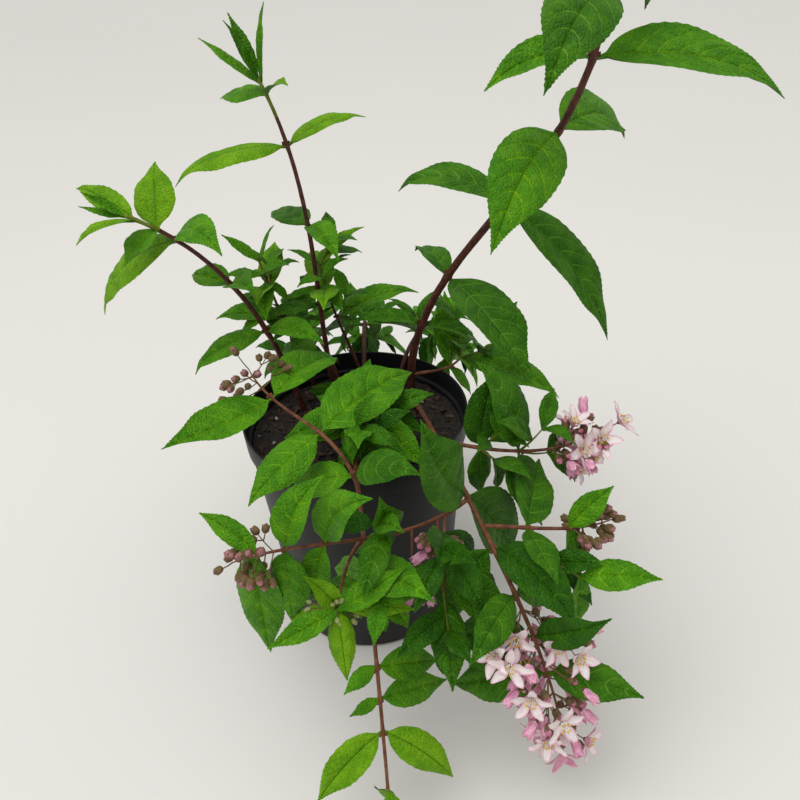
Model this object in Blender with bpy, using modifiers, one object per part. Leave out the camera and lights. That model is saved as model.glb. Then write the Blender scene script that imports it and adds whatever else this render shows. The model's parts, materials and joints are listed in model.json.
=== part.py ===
"""Deutzia shrub in its nursery pot, built the way it grows.

Canes rise from the compost, arch over the rim and carry opposite pairs of
leaves, each pair at right angles to the last. Flower heads end the blooming
shoots. All sizes are in metres, +Z is up and the origin is the centre of the
flat underside of the pot.
"""
from dataclasses import dataclass, replace
from math import cos, degrees, pi, radians, sin

import bmesh
import bpy
import numpy as np
from mathutils import Vector
from mathutils.bvhtree import BVHTree

# Growth rule begins

# Driving sizes of the pot
POT_HEIGHT = 0.190
POT_RIM_RADIUS = 0.085
POT_BASE_RADIUS = 0.0675
POT_WALL = 0.0016
POT_FLOOR = 0.0022
COLLAR_HEIGHT = 0.018
COLLAR_STEP = 0.0032
GAP = 0.0003
COMPOST_TOP = 0.171

# Sizes shared by all shoots
CANE_STEPS = 24
CANE_TAPER = 0.5
QUARTER_TURN = 90.0
HALF_TURN = 180.0
STEEPEST = 88.0
UP = np.array([0.0, 0.0, 1.0])

# Sizes shared by all leaves
RIB_STEPS = 10
LEAF_STATIONS = (0.0, 0.10, 0.34, 0.60, 0.84, 1.0)
LEAF_THICKNESS = 0.012
LEAF_MIN_THICKNESS = 0.0009
LEAF_KEEL = 0.16
PETIOLE_RADIUS = 0.0008
PETIOLE_SHARE = 0.06
PETIOLE_END = 0.2
BLADE_FULLNESS = 1.55
BLADE_RISE = 0.72
BLADE_FALL = 1.12
BLADE_MOST = 0.52
LIGHT = np.array([0.05, -0.40, 0.85])
LIGHT_FROM_OUTSIDE = 0.25
LIGHT_FROM_AHEAD = 0.15
LEAST_KEPT_TURN = 0.6

# A plain shoot's leaves change from its foot to its tip
TIP_LEAF_LESS = 0.45
TIP_DROOP_LESS = 0.5
TIP_SPREAD_LESS = 30.0
TWIN_SHARE = 0.92

# A flower head: stalks turn, spread and shorten by these
STALK_TURN_PLAY = 40.0
STALK_SPREAD = 58.0
STALK_SPREAD_PLAY = 14.0
STALK_DROOP = 14.0
STALK_TIP_LESS = 0.55
STALK_PLAY = 0.4
FORK_SHARE = 0.55
FORK_REACH = 0.42
FORK_LEANS = (0.0, 0.75, -0.75)
NOD = 0.25
BUD_PLAY = 0.3


@dataclass(frozen=True)
class Pair:
    """Two opposite leaves at one node of a shoot. Angles are in degrees."""
    at: float
    roll: float
    size: float
    droop: float = 35.0
    spread: float = 65.0
    twin: float = 1.0
    width: float = 0.40
    twin_droop: float | None = None


@dataclass(frozen=True)
class FlowerHead:
    """Flower stalks in opposite pairs along the end of a shoot."""
    start: float
    nodes: int
    stalk: float
    open_share: float
    seed: int
    bud: float = 0.0042
    flower: float = 0.0135
    side_stalks: int = 2


@dataclass(frozen=True)
class Cane:
    """One shoot: its lean runs through three values and its heading turns evenly."""
    name: str
    foot: tuple
    heading: float
    turn: float
    lean: tuple
    length: float
    thick: float
    bough: float
    pairs: tuple
    parent: str | None = None
    split: float | None = None
    head: FlowerHead | None = None


def even_pairs(count, first, last, roll, size, droop=45.0, spread=62.0):
    """Leaf pairs of a plain shoot: turned by a quarter each time, smaller and closer to the tip."""
    pairs = []
    for k in range(count):
        share = k / max(count - 1, 1)
        pairs.append(Pair(
            at=first + (last - first) * share,
            roll=roll + QUARTER_TURN * (k % 2),
            size=size * (1.0 - TIP_LEAF_LESS * share * share),
            droop=droop * (1.0 - TIP_DROOP_LESS * share),
            spread=spread - TIP_SPREAD_LESS * share ** 3,
            twin=TWIN_SHARE,
        ))
    return tuple(pairs)


FOOT_Z = COMPOST_TOP + GAP
CANES = (
    Cane("tall_right", (0.047, 0.037, FOOT_Z), 342, -58, (-5, 38, -20), 0.405, 0.0065, 0.12, (
        Pair(0.17, 60, 0.055, 45, 75, 0.95, 0.30),
        Pair(0.29, -65, 0.100, 30, 75, 0.5, 0.50, 70),
        Pair(0.48, -108, 0.120, 40, 85, 0.67, 0.36, 70),
        Pair(0.64, -15, 0.100, 55, 80, 0.92, 0.44, 65),
        Pair(0.76, -155, 0.120, 40, 75, 0.55, 0.34, 65),
        Pair(0.85, -30, 0.090, 58, 80, 0.80, 0.44),
        Pair(0.93, 65, 0.060, 25, 55, 0.9, 0.32),
        Pair(0.98, -25, 0.045, 10, 30, 0.9, 0.28),
        Pair(1.0, 65, 0.028, 0, 15, 0.9, 0.28)), split=0.57),
    Cane("tall_left", (-0.014, 0.044, FOOT_Z), 179, -4, (7, 2, 22), 0.252, 0.0045, 0.26, (
        Pair(0.34, -112, 0.062, 36, 70, 0.75, 0.38),
        Pair(0.59, -31, 0.062, 35, 76, 0.75, 0.44, 60),
        Pair(0.82, -112, 0.082, 36, 68, 0.75, 0.36, 45),
        Pair(0.96, -48, 0.048, 35, 66, 0.62, 0.52),
        Pair(0.99, 95, 0.048, 0, 30, 0.95, 0.24),
        Pair(1.0, 5, 0.042, 0, 8, 0.95, 0.24)), split=0.70),
    Cane("left", (-0.040, 0.031, FOOT_Z), 200, -8, (11, 25, 60), 0.212, 0.005, 0.32, (
        Pair(0.38, -84, 0.065, 41, 70, 0.8, 0.38),
        Pair(0.60, -26, 0.045, 15, 70, 1.0, 0.50, 33),
        Pair(0.83, -51, 0.104, 55, 66, 0.66, 0.38, 90),
        Pair(0.90, 62, 0.046, 20, 62, 0.7, 0.76),
        Pair(0.97, 9, 0.056, 24, 42, 0.9, 0.32),
        Pair(1.0, 99, 0.030, 0, 10, 0.95, 0.26)), split=0.72),
    Cane("inner_middle", (0.013, 0.046, FOOT_Z), 179, 0, (12, 16, 6), 0.124, 0.003, 0.40, (
        Pair(0.60, 86, 0.068, 44, 69, 1.0, 0.38),
        Pair(0.80, -5, 0.056, 30, 60, 1.0, 0.42),
        Pair(0.97, 86, 0.044, 15, 50, 1.0, 0.40))),
    Cane("inner_left", (-0.027, 0.050, FOOT_Z), 189, 0, (18, 14, 12), 0.132, 0.003, 0.40, (
        Pair(0.44, 22, 0.058, 25, 65, 1.0, 0.44),
        Pair(0.60, -68, 0.054, 34, 60, 0.95, 0.44),
        Pair(0.80, 22, 0.050, 25, 60, 1.0, 0.42),
        Pair(0.98, -68, 0.032, 5, 35, 1.0, 0.34))),
    Cane("front", (-0.007, 0.007, FOOT_Z), 273, -5, (37, 135, 135), 0.339, 0.0038, 0.40, (
        Pair(0.50, -64, 0.052, 0, 95, 1.25, 0.42, 45),
        Pair(0.67, -143, 0.055, 7, 81, 0.5, 0.44, 36),
        Pair(0.73, -140, 0.062, 4, 85, 0.4, 0.36),
        Pair(0.79, 6, 0.064, 35, 60, 1.0, 0.48),
        Pair(0.90, -80, 0.040, -20, 60, 1.0, 0.40, -20),
        Pair(1.0, 6, 0.034, -25, 30, 1.0, 0.36)), split=0.70),
    Cane("bloom", (0.048, 0.024, FOOT_Z), 268, 42, (54, 116, 170), 0.318, 0.0044, 0.43, (
        Pair(0.45, 53, 0.095, -34, 84, 1.0, 0.46, 20),
        Pair(0.57, -40, 0.075, 60, 80, 1.0, 0.42),
        Pair(0.67, 25, 0.060, 25, 80, 1.0, 0.42),
        Pair(0.76, 112, 0.066, -7, 98, 1.05, 0.42, 10),
        Pair(0.84, 117, 0.060, 27, 84, 1.25, 0.44, 6)), split=0.68,
        head=FlowerHead(0.70, 8, 0.036, 0.78, 11)),
    Cane("front_left", (0.345, 0.0, 0.0), 126, 20, (5, 76, 20), 0.116, 0.003, 0.0, (
        Pair(0.09, -100, 0.058, 24, 73, 1.0, 0.46, 48),
        Pair(0.41, 15, 0.098, 32, 85, 0.68, 0.46, 20),
        Pair(0.78, 13, 0.086, 50, 80, 0.95, 0.42, -20)), parent="front",
        head=FlowerHead(0.86, 3, 0.030, 0.0, 4)),
    Cane("low_left", (0.46, 0.0, 0.0), 203, -13, (112, 77, 99), 0.154, 0.0032, 0.0, (
        Pair(0.33, 121, 0.055, -18, 62, 0.7, 0.42, -13),
        Pair(0.64, 96, 0.064, 58, 83, 0.8, 0.44, 12),
        Pair(0.79, 90, 0.058, 56, 84, 1.15, 0.42, 51),
        Pair(0.90, 112, 0.070, 75, 80, 1.45, 0.34, 50)), parent="bloom",
        head=FlowerHead(0.84, 5, 0.020, 0.0, 8)),
    Cane("right", (0.29, 0.0, 0.0), 329, 31, (86, 85, 53), 0.110, 0.003, 0.0, (
        Pair(0.24, 93, 0.058, 29, 88, 0.7, 0.58, 30),
        Pair(0.48, 90, 0.076, 40, 88, 0.9, 0.46, -20)), parent="bloom",
        head=FlowerHead(0.68, 5, 0.022, 0.5, 5)),
    Cane("low_right", (0.524, 0.0, 0.0), 342, 39, (83, 100, 91), 0.084, 0.003, 0.0, (
        Pair(0.30, -175, 0.065, 0, 76, 0.75, 0.48, 10),
        Pair(0.62, 95, 0.040, 20, 60, 1.0, 0.48)), parent="bloom",
        head=FlowerHead(0.66, 4, 0.020, 0.06, 9)),
    Cane("front_whorl", (0.43, 0.0, 0.0), 225, 45, (108, 118, 62), 0.052, 0.0026, 0.0, (
        Pair(0.84, -16, 0.056, 0, 92, 0.87, 0.32),
        Pair(0.91, 74, 0.042, 15, 70, 1.2, 0.36),
        Pair(0.98, -20, 0.047, 0, 80, 1.1, 0.34)), parent="front",
        head=FlowerHead(0.80, 2, 0.016, 0.0, 3, bud=0.0034)),
    Cane("pink_twig", (0.14, 0.0, 0.0), 262, 0, (80, 120, 150), 0.022, 0.0018, 0.0, (
        Pair(0.35, 80, 0.022, 20, 60, 1.0, 0.34),), parent="low_left",
        head=FlowerHead(0.45, 3, 0.015, 0.35, 13)),
    Cane("faded_twig", (0.26, 0.0, 0.0), 262, 0, (110, 148, 170), 0.040, 0.0018, 0.0, (
        Pair(0.50, 10, 0.020, 20, 60, 1.0, 0.34),), parent="low_left",
        head=FlowerHead(0.70, 2, 0.015, 0.45, 17)),
    Cane("inner_right", (0.05, 0.0, 0.0), 343, 30, (72, 78, 34), 0.040, 0.003, 0.0, (
        Pair(0.68, 111, 0.061, 30, 66, 0.5, 0.46),
        Pair(0.98, -40, 0.084, 29, 62, 0.6, 0.48)), parent="tall_right"),
    Cane("inner_front", (0.016, -0.004, FOOT_Z), 250, 10, (20, 55, 92), 0.078, 0.0028, 0.26, (
        Pair(0.34, 10, 0.050, 15, 60, 1.0, 0.50),
        Pair(0.58, 98, 0.052, 15, 65, 1.0, 0.48),
        Pair(0.80, 12, 0.056, 35, 65, 1.0, 0.48),
        Pair(1.0, 98, 0.044, 30, 45, 1.0, 0.46))),
    Cane("inner_bloom", (0.40, 0.0, 0.0), 246, 20, (80, 140, 172), 0.090, 0.0024, 0.0, (
        Pair(0.22, 5, 0.062, 15, 62, 0.9, 0.48, 40),
        Pair(0.45, 95, 0.056, 10, 66, 1.0, 0.46),
        Pair(0.68, 5, 0.064, 20, 56, 1.0, 0.44),
        Pair(0.92, 95, 0.060, 10, 40, 0.9, 0.42)), parent="bloom"),
    Cane("shade_right", (0.60, 0.0, 0.0), 348, -20, (72, 95, 120), 0.050, 0.0024, 0.0, (
        Pair(0.35, 80, 0.050, 20, 70, 0.9, 0.44),
        Pair(0.66, 5, 0.050, 15, 75, 1.0, 0.42),
        Pair(0.98, 95, 0.050, 20, 55, 0.9, 0.42)), parent="bloom"),
    Cane("back", (0.010, 0.050, FOOT_Z), 84, 6, (20, 125, 165), 0.205, 0.004, 0.30,
         even_pairs(5, 0.36, 1.0, 0, 0.070), split=0.66),
    Cane("back_left", (-0.010, 0.058, FOOT_Z), 114, -10, (18, 122, 165), 0.190, 0.0036, 0.30,
         even_pairs(5, 0.36, 1.0, 30, 0.066), split=0.66),
    Cane("back_right", (0.036, 0.047, FOOT_Z), 58, 10, (18, 125, 165), 0.190, 0.0036, 0.30,
         even_pairs(5, 0.36, 1.0, -20, 0.068), split=0.66),
)
CANE_BOOK = {cane.name: cane for cane in CANES}


def unit(v):
    """The vector at length one."""
    return v / max(float(np.linalg.norm(v)), 1e-9)


def cane_radius(cane, share):
    """The cane's radius, thinner towards the tip."""
    return 0.5 * cane.thick * (1.0 - CANE_TAPER * share)


def cane_direction(cane, share):
    """Which way the cane grows at a share of its length."""
    low, middle, high = cane.lean
    lean = low * (1 - share) * (1 - 2 * share) + middle * 4 * share * (1 - share)
    lean += high * share * (2 * share - 1)
    tilt = radians(lean)
    heading = radians(cane.heading + cane.turn * share)
    return np.array([sin(tilt) * cos(heading), sin(tilt) * sin(heading), cos(tilt)])


def cane_points(cane):
    """The cane's centre line. A side shoot starts just clear of its parent's side."""
    if cane.parent:
        parent = CANE_BOOK[cane.parent]
        host, along = at_share(cane_points(parent), cane.foot[0])
        grow = cane_direction(cane, 0.0)
        slant = abs(float(grow @ along))
        reach = cane_radius(parent, cane.foot[0]) + GAP + cane_radius(cane, 0.0) * slant
        start = host + grow * reach / max((1 - slant * slant) ** 0.5, 0.3)
    else:
        start = np.array(cane.foot, float)
    points = [start]
    for i in range(CANE_STEPS):
        points.append(points[-1] + cane_direction(cane, (i + 0.5) / CANE_STEPS) * cane.length / CANE_STEPS)
    return np.array(points)


def at_share(points, share):
    """The point and the direction at a share of a line's length."""
    place = share * (len(points) - 1)
    i = min(int(place), len(points) - 2)
    return points[i] + (points[i + 1] - points[i]) * (place - i), unit(points[i + 1] - points[i])


def stem_frame(along):
    """Two directions across a stem: to the right of its travel, and its upper side."""
    side = np.cross(along, UP)
    if np.linalg.norm(side) < 0.05:
        side = np.array([0.0, -1.0, 0.0])
    side = unit(side)
    return side, np.cross(side, along)


def towards_ground(direction, angle):
    """The direction swung towards the ground, no further than straight down."""
    level = unit(direction - UP * direction[2])
    rise = degrees(np.arctan2(direction[2], direction @ level))
    rise = min(max(rise - angle, -STEEPEST), STEEPEST)
    return level * cos(radians(rise)) + UP * sin(radians(rise))


def half_width(s):
    """Half the blade's width over its full width: broad below the middle, drawn out to a point."""
    t = min(max((s - PETIOLE_SHARE) / (1.0 - PETIOLE_SHARE), 0.0), 1.0)
    return min(BLADE_FULLNESS * t ** BLADE_RISE * (1.0 - t) ** BLADE_FALL, BLADE_MOST)


@dataclass(frozen=True)
class Leaf:
    """One leaf, placed: where it starts, the stem's direction there, and its own angles."""
    cane: str
    base: tuple
    along: tuple
    roll: float
    spread: float
    droop: float
    size: float
    width: float

    def rib(self, count):
        """Points and directions along the midrib."""
        along = np.array(self.along)
        side, top = stem_frame(along)
        out = side * cos(radians(self.roll)) + top * sin(radians(self.roll))
        first = along * cos(radians(self.spread)) + out * sin(radians(self.spread))
        points = [np.array(self.base)]
        directions = []
        for i in range(count):
            directions.append(towards_ground(first, self.droop * (i + 0.5) / count))
            points.append(points[-1] + directions[-1] * self.size / count)
        directions.append(directions[-1])
        return np.array(points), np.array(directions)

    def section(self, points, directions, s, before=None):
        """Rib point, across and upper direction at a share of the leaf, never twisted far from the one before."""
        point, _ = at_share(points, s)
        place = min(int(s * (len(points) - 1)), len(points) - 1)
        direction = directions[place]
        base = np.array(self.base)
        outward = unit(np.array([base[0], base[1], 0.0]))
        light = LIGHT + outward * LIGHT_FROM_OUTSIDE + np.array(self.along) * LIGHT_FROM_AHEAD
        upper = unit(light - direction * float(light @ direction))
        if before is not None and float(upper @ before) < LEAST_KEPT_TURN:
            upper = unit(before - direction * float(before @ direction))
        return point, np.cross(direction, upper), upper

    def shell(self, margin=0.0):
        """Corner points of the closed blade: root, four rings of four, tip."""
        points, directions = self.rib(RIB_STEPS)
        corners = [points[0]]
        thick = 0.5 * max(LEAF_THICKNESS * self.size, LEAF_MIN_THICKNESS)
        upper = None
        for s in LEAF_STATIONS[1:-1]:
            point, across, upper = self.section(points, directions, s, upper)
            half = max(half_width(s) * self.width * self.size, PETIOLE_RADIUS) + margin
            lift = LEAF_KEEL * half
            rise = max(thick, PETIOLE_RADIUS if s < PETIOLE_END else thick) + margin
            corners += [point + across * half + upper * lift, point + upper * rise,
                        point - across * half + upper * lift, point - upper * rise]
        corners.append(points[-1])
        return corners


def shell_faces(rings, sides):
    """Triangles of a closed shell from a point over rings to a point, its two skins cut along the same lines."""
    faces = []
    for k in range(sides):
        faces.append((0, 1 + k, 1 + (k + 1) % sides))
    for ring in range(rings - 1):
        low = 1 + ring * sides
        high = low + sides
        for k in range(sides):
            n = (k + 1) % sides
            if k % 2:
                faces += [(low + k, high + k, low + n), (high + k, high + n, low + n)]
            else:
                faces += [(low + k, high + k, high + n), (low + k, high + n, low + n)]
    last = 1 + rings * sides
    low = last - sides
    for k in range(sides):
        faces.append((last, low + (k + 1) % sides, low + k))
    return faces


@dataclass(frozen=True)
class Bloom:
    """One stalk with its bud or open flower."""
    cane: str
    root: tuple
    centre: tuple
    facing: tuple
    is_open: bool
    size: float


def pair_leaves(cane, pair, points):
    """The two leaves of a pair, before any is turned to find room."""
    base, along = at_share(points, pair.at)
    twin_droop = pair.droop if pair.twin_droop is None else pair.twin_droop
    first = Leaf(cane.name, tuple(base), tuple(along), pair.roll, pair.spread, pair.droop, pair.size, pair.width)
    second = replace(first, roll=pair.roll + HALF_TURN, droop=twin_droop, size=pair.size * pair.twin)
    return first, second


def chance(seed, index):
    """A repeatable number from 0 to 1 for each item of a seeded row."""
    value = sin(seed * 12.9898 + index * 78.233) * 43758.5453
    return value - int(value // 1)


def head_blooms(cane, points):
    """Stalks of a flower head: opposite, quarter-turned, shorter to the tip, each with side stalks."""
    head = cane.head
    blooms = []
    count = 0
    for node in range(head.nodes + 1):
        share = node / head.nodes
        base, along = at_share(points, head.start + (1.0 - head.start) * share)
        side, top = stem_frame(along)
        last = node == head.nodes
        for half in range(1 if last else 2):
            turn = QUARTER_TURN * (node % 2) + HALF_TURN * half + STALK_TURN_PLAY * chance(head.seed, count)
            out = side * cos(radians(turn)) + top * sin(radians(turn))
            spread = 0.0 if last else STALK_SPREAD + STALK_SPREAD_PLAY * chance(head.seed, count + 50)
            first = along * cos(radians(spread)) + out * sin(radians(spread))
            stalk = towards_ground(first, STALK_DROOP)
            length = head.stalk * (1.0 - STALK_TIP_LESS * share)
            length *= 1.0 - STALK_PLAY / 2 + STALK_PLAY * chance(head.seed, count + 90)
            for fork in range(1 if last else 1 + head.side_stalks):
                count += 1
                across = unit(np.cross(stalk, UP + along * 0.3))
                facing = unit(stalk + across * FORK_LEANS[fork] - UP * NOD * chance(head.seed, count + 130))
                root = base if fork == 0 else base + stalk * length * FORK_SHARE
                centre = base + stalk * length if fork == 0 else root + facing * length * FORK_REACH
                is_open = chance(head.seed, count + 170) < head.open_share
                size = head.flower
                if not is_open:
                    size = head.bud * (1.0 - BUD_PLAY / 2 + BUD_PLAY * chance(head.seed, count + 210))
                blooms.append(Bloom(cane.name, tuple(root), tuple(centre), tuple(facing), is_open, size))
    return blooms

# Growth rule ends

# How finely the solids are made
POT_STEPS = 48
CANE_POINT_GAP = 0.010
TWIG_POINT_GAP = 0.012
BOUGH_BEVEL_LEVEL = 1
TWIG_BEVEL_LEVEL = 0
TUBE_SIDES = 4
LEAF_SIDES = 4
BUD_SIDES = 4
PETAL_POINTS = 10
STALK_SIDES = 3
WELD = 0.00001
SCRAP_EDGE = 0.0000005

# The pot's small forms
RIM_ROUND = 0.0008
COLLAR_DRAFT = 0.0010
COLLAR_INNER_STEP = 0.0012
BASE_BEVEL = 0.003
DRAIN_HOLES = 8
DRAIN_RADIUS = 0.0055
DRAIN_RING = 0.048
DRAIN_SIDES = 12
DRAIN_DEPTH = 0.02

# A cane leaves the compost upright for a few millimetres
FOOT_RISE = 0.002
FOOT_CLEAR = 0.002
FOOT_LEVEL = 0.0002

# Room kept round leaves, stems and blooms
ROOM_MARGIN = 0.0011
STEM_MARGIN = 0.0004
BLOOM_MARGIN = 0.0004
FLOOR_CLEARANCE = 0.004
POT_ROOM_SIDES = 32
RIM_ROOM = 0.004
TIP_SPREAD = 50.0
TIP_SHARE = 0.9
TURN_TRIALS = ((0, 0), (0, 12), (12, 0), (-12, 0), (0, -12), (20, 12), (-20, 12), (0, 28), (25, -15), (-25, -15),
               (35, 30), (-35, 30))

# Blooms: shares of their size
STALK_RADIUS = 0.0006
BUD_BACK = 0.55
BUD_RINGS_AT = ((-0.25, 0.42), (0.35, 0.46))
BUD_TIP = 0.95
CUP_DEPTH = 0.0028
VALLEY_SHARE = 0.42
PETAL_LIFT = 0.25
VALLEY_LIFT = 0.1
FLOWER_CORE = 0.55
BUD_CORE = 0.5

POT_COLOUR = (0.020, 0.020, 0.023, 1.0)
COMPOST_COLOUR = (0.018, 0.011, 0.008, 1.0)
BARK_COLOUR = (0.10, 0.035, 0.022, 1.0)
LEAF_COLOUR = (0.060, 0.190, 0.022, 1.0)
POT_ROUGHNESS = 0.55
COMPOST_ROUGHNESS = 0.95
BARK_ROUGHNESS = 0.7
LEAF_ROUGHNESS = 0.5
SMOOTH_ANGLE = radians(35.0)


def new_material(name, colour, roughness):
    """A Principled material of one plain colour."""
    material = bpy.data.materials.new(name)
    material.use_nodes = True
    shader = material.node_tree.nodes["Principled BSDF"]
    shader.inputs["Base Color"].default_value = colour
    shader.inputs["Roughness"].default_value = roughness
    shader.inputs["Metallic"].default_value = 0.0
    material.diffuse_color = colour
    return material


def new_collection(name):
    """A collection linked under the scene."""
    collection = bpy.data.collections.new(name)
    bpy.context.scene.collection.children.link(collection)
    return collection


def new_object(name, mesh, collection):
    """An object for the mesh, linked to the collection."""
    thing = bpy.data.objects.new(name, mesh)
    collection.objects.link(thing)
    return thing


def mesh_from_bmesh(name, shape):
    """A finished mesh with its faces pointing out."""
    bmesh.ops.recalc_face_normals(shape, faces=shape.faces)
    if shape.calc_volume(signed=True) < 0.0:
        bmesh.ops.reverse_faces(shape, faces=shape.faces)
    mesh = bpy.data.meshes.new(name)
    shape.to_mesh(mesh)
    shape.free()
    return mesh


def evaluated_mesh(thing):
    """The object's mesh with its modifiers or its curve bevel worked in."""
    graph = bpy.context.evaluated_depsgraph_get()
    return bpy.data.meshes.new_from_object(thing.evaluated_get(graph))


def turned_solid(name, profile, collection):
    """A profile in the XZ plane, turned about Z."""
    shape = bmesh.new()
    corners = [shape.verts.new((x, 0.0, z)) for x, z in profile]
    for a, b in zip(corners[:-1], corners[1:]):
        shape.edges.new((a, b))
    mesh = bpy.data.meshes.new(name)
    shape.to_mesh(mesh)
    shape.free()
    thing = new_object(name, mesh, collection)
    screw = thing.modifiers.new("turn", "SCREW")
    screw.axis = "Z"
    screw.steps = POT_STEPS
    screw.render_steps = POT_STEPS
    screw.use_smooth_shade = True
    screw.use_merge_vertices = True
    screw.merge_threshold = 0.0001
    return thing


def pot_wall_radius(z):
    """Outer radius of the tapered wall at a height."""
    high = POT_RIM_RADIUS - COLLAR_STEP
    return POT_BASE_RADIUS + (high - POT_BASE_RADIUS) * z / (POT_HEIGHT - COLLAR_HEIGHT)


def pot_profile():
    """The pot's section: up the inside, over the rim, down the collar and the wall to the underside."""
    inner_top = POT_RIM_RADIUS - POT_WALL
    step_z = POT_HEIGHT - COLLAR_HEIGHT
    return [
        (0.0, POT_FLOOR),
        (pot_wall_radius(POT_FLOOR) - POT_WALL, POT_FLOOR),
        (pot_wall_radius(step_z) - POT_WALL, step_z + POT_WALL),
        (inner_top - COLLAR_INNER_STEP, step_z + 2.0 * POT_WALL),
        (inner_top, POT_HEIGHT - RIM_ROUND),
        (inner_top + RIM_ROUND, POT_HEIGHT),
        (POT_RIM_RADIUS - RIM_ROUND / 2, POT_HEIGHT - RIM_ROUND / 3),
        (POT_RIM_RADIUS, POT_HEIGHT - RIM_ROUND),
        (POT_RIM_RADIUS - COLLAR_DRAFT, step_z),
        (pot_wall_radius(step_z), step_z - RIM_ROUND / 2),
        (pot_wall_radius(BASE_BEVEL), BASE_BEVEL),
        (POT_BASE_RADIUS - BASE_BEVEL, 0.0),
        (0.0, 0.0),
    ]


def build_pot(parts, cutters):
    """The thin tapered pot with its collar and the drain holes in its floor."""
    pot = turned_solid("pot", pot_profile(), parts)
    for k in range(DRAIN_HOLES):
        turn = 2.0 * pi * (k + 0.5) / DRAIN_HOLES
        shape = bmesh.new()
        bmesh.ops.create_cone(shape, cap_ends=True, segments=DRAIN_SIDES, radius1=DRAIN_RADIUS,
                              radius2=DRAIN_RADIUS, depth=DRAIN_DEPTH)
        cutter = new_object(f"drain_cutter_{k}", mesh_from_bmesh(f"drain_cutter_{k}", shape), cutters)
        cutter.location = (DRAIN_RING * cos(turn), DRAIN_RING * sin(turn), 0.0)
        cutter.hide_render = True
        cutter.display_type = "WIRE"
        cut = pot.modifiers.new(f"drain_{k}", "BOOLEAN")
        cut.operation = "DIFFERENCE"
        cut.object = cutter
    return pot


def build_compost(parts):
    """The plug of compost that fills the pot to a finger below its rim."""
    low = pot_wall_radius(POT_FLOOR) - POT_WALL - GAP
    top = pot_wall_radius(COMPOST_TOP) - POT_WALL - GAP
    profile = [(0.0, COMPOST_TOP), (top, COMPOST_TOP), (low, POT_FLOOR + GAP), (0.0, POT_FLOOR + GAP)]
    return turned_solid("compost", profile, parts)


def tube_mesh(name, points, radii, bevel_level, flat_foot, collection):
    """A tapering tube along a line: a bevelled curve with filled caps, made a welded mesh."""
    curve = bpy.data.curves.new(name, "CURVE")
    curve.dimensions = "3D"
    curve.bevel_depth = 1.0
    curve.bevel_resolution = bevel_level
    curve.use_fill_caps = True
    line = curve.splines.new("POLY")
    line.points.add(len(points) - 1)
    for corner, point, radius in zip(line.points, points, radii):
        corner.co = (*point, 1.0)
        corner.radius = radius
    guide = new_object(name + "_line", curve, collection)
    mesh = evaluated_mesh(guide)
    bpy.data.objects.remove(guide)
    shape = bmesh.new()
    shape.from_mesh(mesh)
    bmesh.ops.remove_doubles(shape, verts=shape.verts, dist=WELD)
    if flat_foot:
        foot_z = min(corner.co.z for corner in shape.verts)
        for corner in shape.verts:
            if corner.co.z < foot_z + FOOT_LEVEL:
                corner.co.z = points[0][2]
    return mesh_from_bmesh(name, shape)


def stretch(cane, low, high, point_gap):
    """Points and radii of a stretch of the cane between two shares of its length."""
    points = cane_points(cane)
    count = max(3, int(cane.length * (high - low) / point_gap))
    shares = [low + (high - low) * k / count for k in range(count + 1)]
    return [at_share(points, share)[0] for share in shares], [cane_radius(cane, share) for share in shares]


def solid_from(corners, faces):
    """Bounds and search tree of a closed shape, for keeping room between pieces."""
    array = np.array(corners)
    tree = BVHTree.FromPolygons([Vector(c) for c in corners], faces)
    return array.min(axis=0), array.max(axis=0), tree


def ring_corners(centre, along, radius, sides):
    """Corners of a ring about a line."""
    side, top = stem_frame(along)
    turns = [2.0 * pi * k / sides for k in range(sides)]
    return [centre + (side * cos(turn) + top * sin(turn)) * radius for turn in turns]


def lofted(rings):
    """Corners and faces of rings joined in a row, closed by a point at each end."""
    corners = [sum(rings[0]) / len(rings[0])]
    for ring in rings:
        corners += ring
    corners.append(sum(rings[-1]) / len(rings[-1]))
    return corners, shell_faces(len(rings), len(rings[0]))


def pot_room():
    """The space of the pot's outside, its rim and the compost's top."""
    collar_z = POT_HEIGHT - COLLAR_HEIGHT
    outline = [
        (pot_wall_radius(0.0), 0.0),
        (pot_wall_radius(collar_z), collar_z - GAP),
        (POT_RIM_RADIUS + GAP, collar_z - GAP),
        (POT_RIM_RADIUS + GAP, POT_HEIGHT + GAP),
        (POT_RIM_RADIUS - RIM_ROOM, POT_HEIGHT + GAP),
        (POT_RIM_RADIUS - RIM_ROOM, COMPOST_TOP + GAP),
        (GAP, COMPOST_TOP + GAP),
    ]
    return lofted([ring_corners(UP * z, UP, radius, POT_ROOM_SIDES) for radius, z in outline])


def stem_room(cane):
    """The space of a cane's own stem."""
    points = cane_points(cane)
    rings = []
    for i in range(1, len(points)):
        share = i / CANE_STEPS
        _, along = at_share(points, share)
        rings.append(ring_corners(points[i], along, cane_radius(cane, share) + STEM_MARGIN, TUBE_SIDES))
    return lofted(rings)


class Room:
    """The space already taken, asked before each leaf or bloom is placed."""

    def __init__(self):
        """Start with the pot and every cane's stem taken."""
        self.taken = []
        self.take("pot", *pot_room())
        for cane in CANES:
            self.take("stem of " + cane.name, *stem_room(cane))

    def take(self, owner, corners, faces):
        """Mark a closed shape as taken."""
        self.taken.append((owner, *solid_from(corners, faces)))

    def is_free(self, corners, faces, allowed):
        """True where the shape touches nothing but what the allowed owners hold."""
        low, high, tree = solid_from(corners, faces)
        if low[2] < FLOOR_CLEARANCE:
            return False
        for owner, other_low, other_high, other in self.taken:
            apart = (low > other_high).any() or (high < other_low).any()
            if owner not in allowed and not apart and tree.overlap(other):
                return False
        return True


def leaf_owner(cane, number, half):
    """The name under which a leaf's space is held."""
    return f"leaf {number} {half} of {cane.name}"


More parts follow.
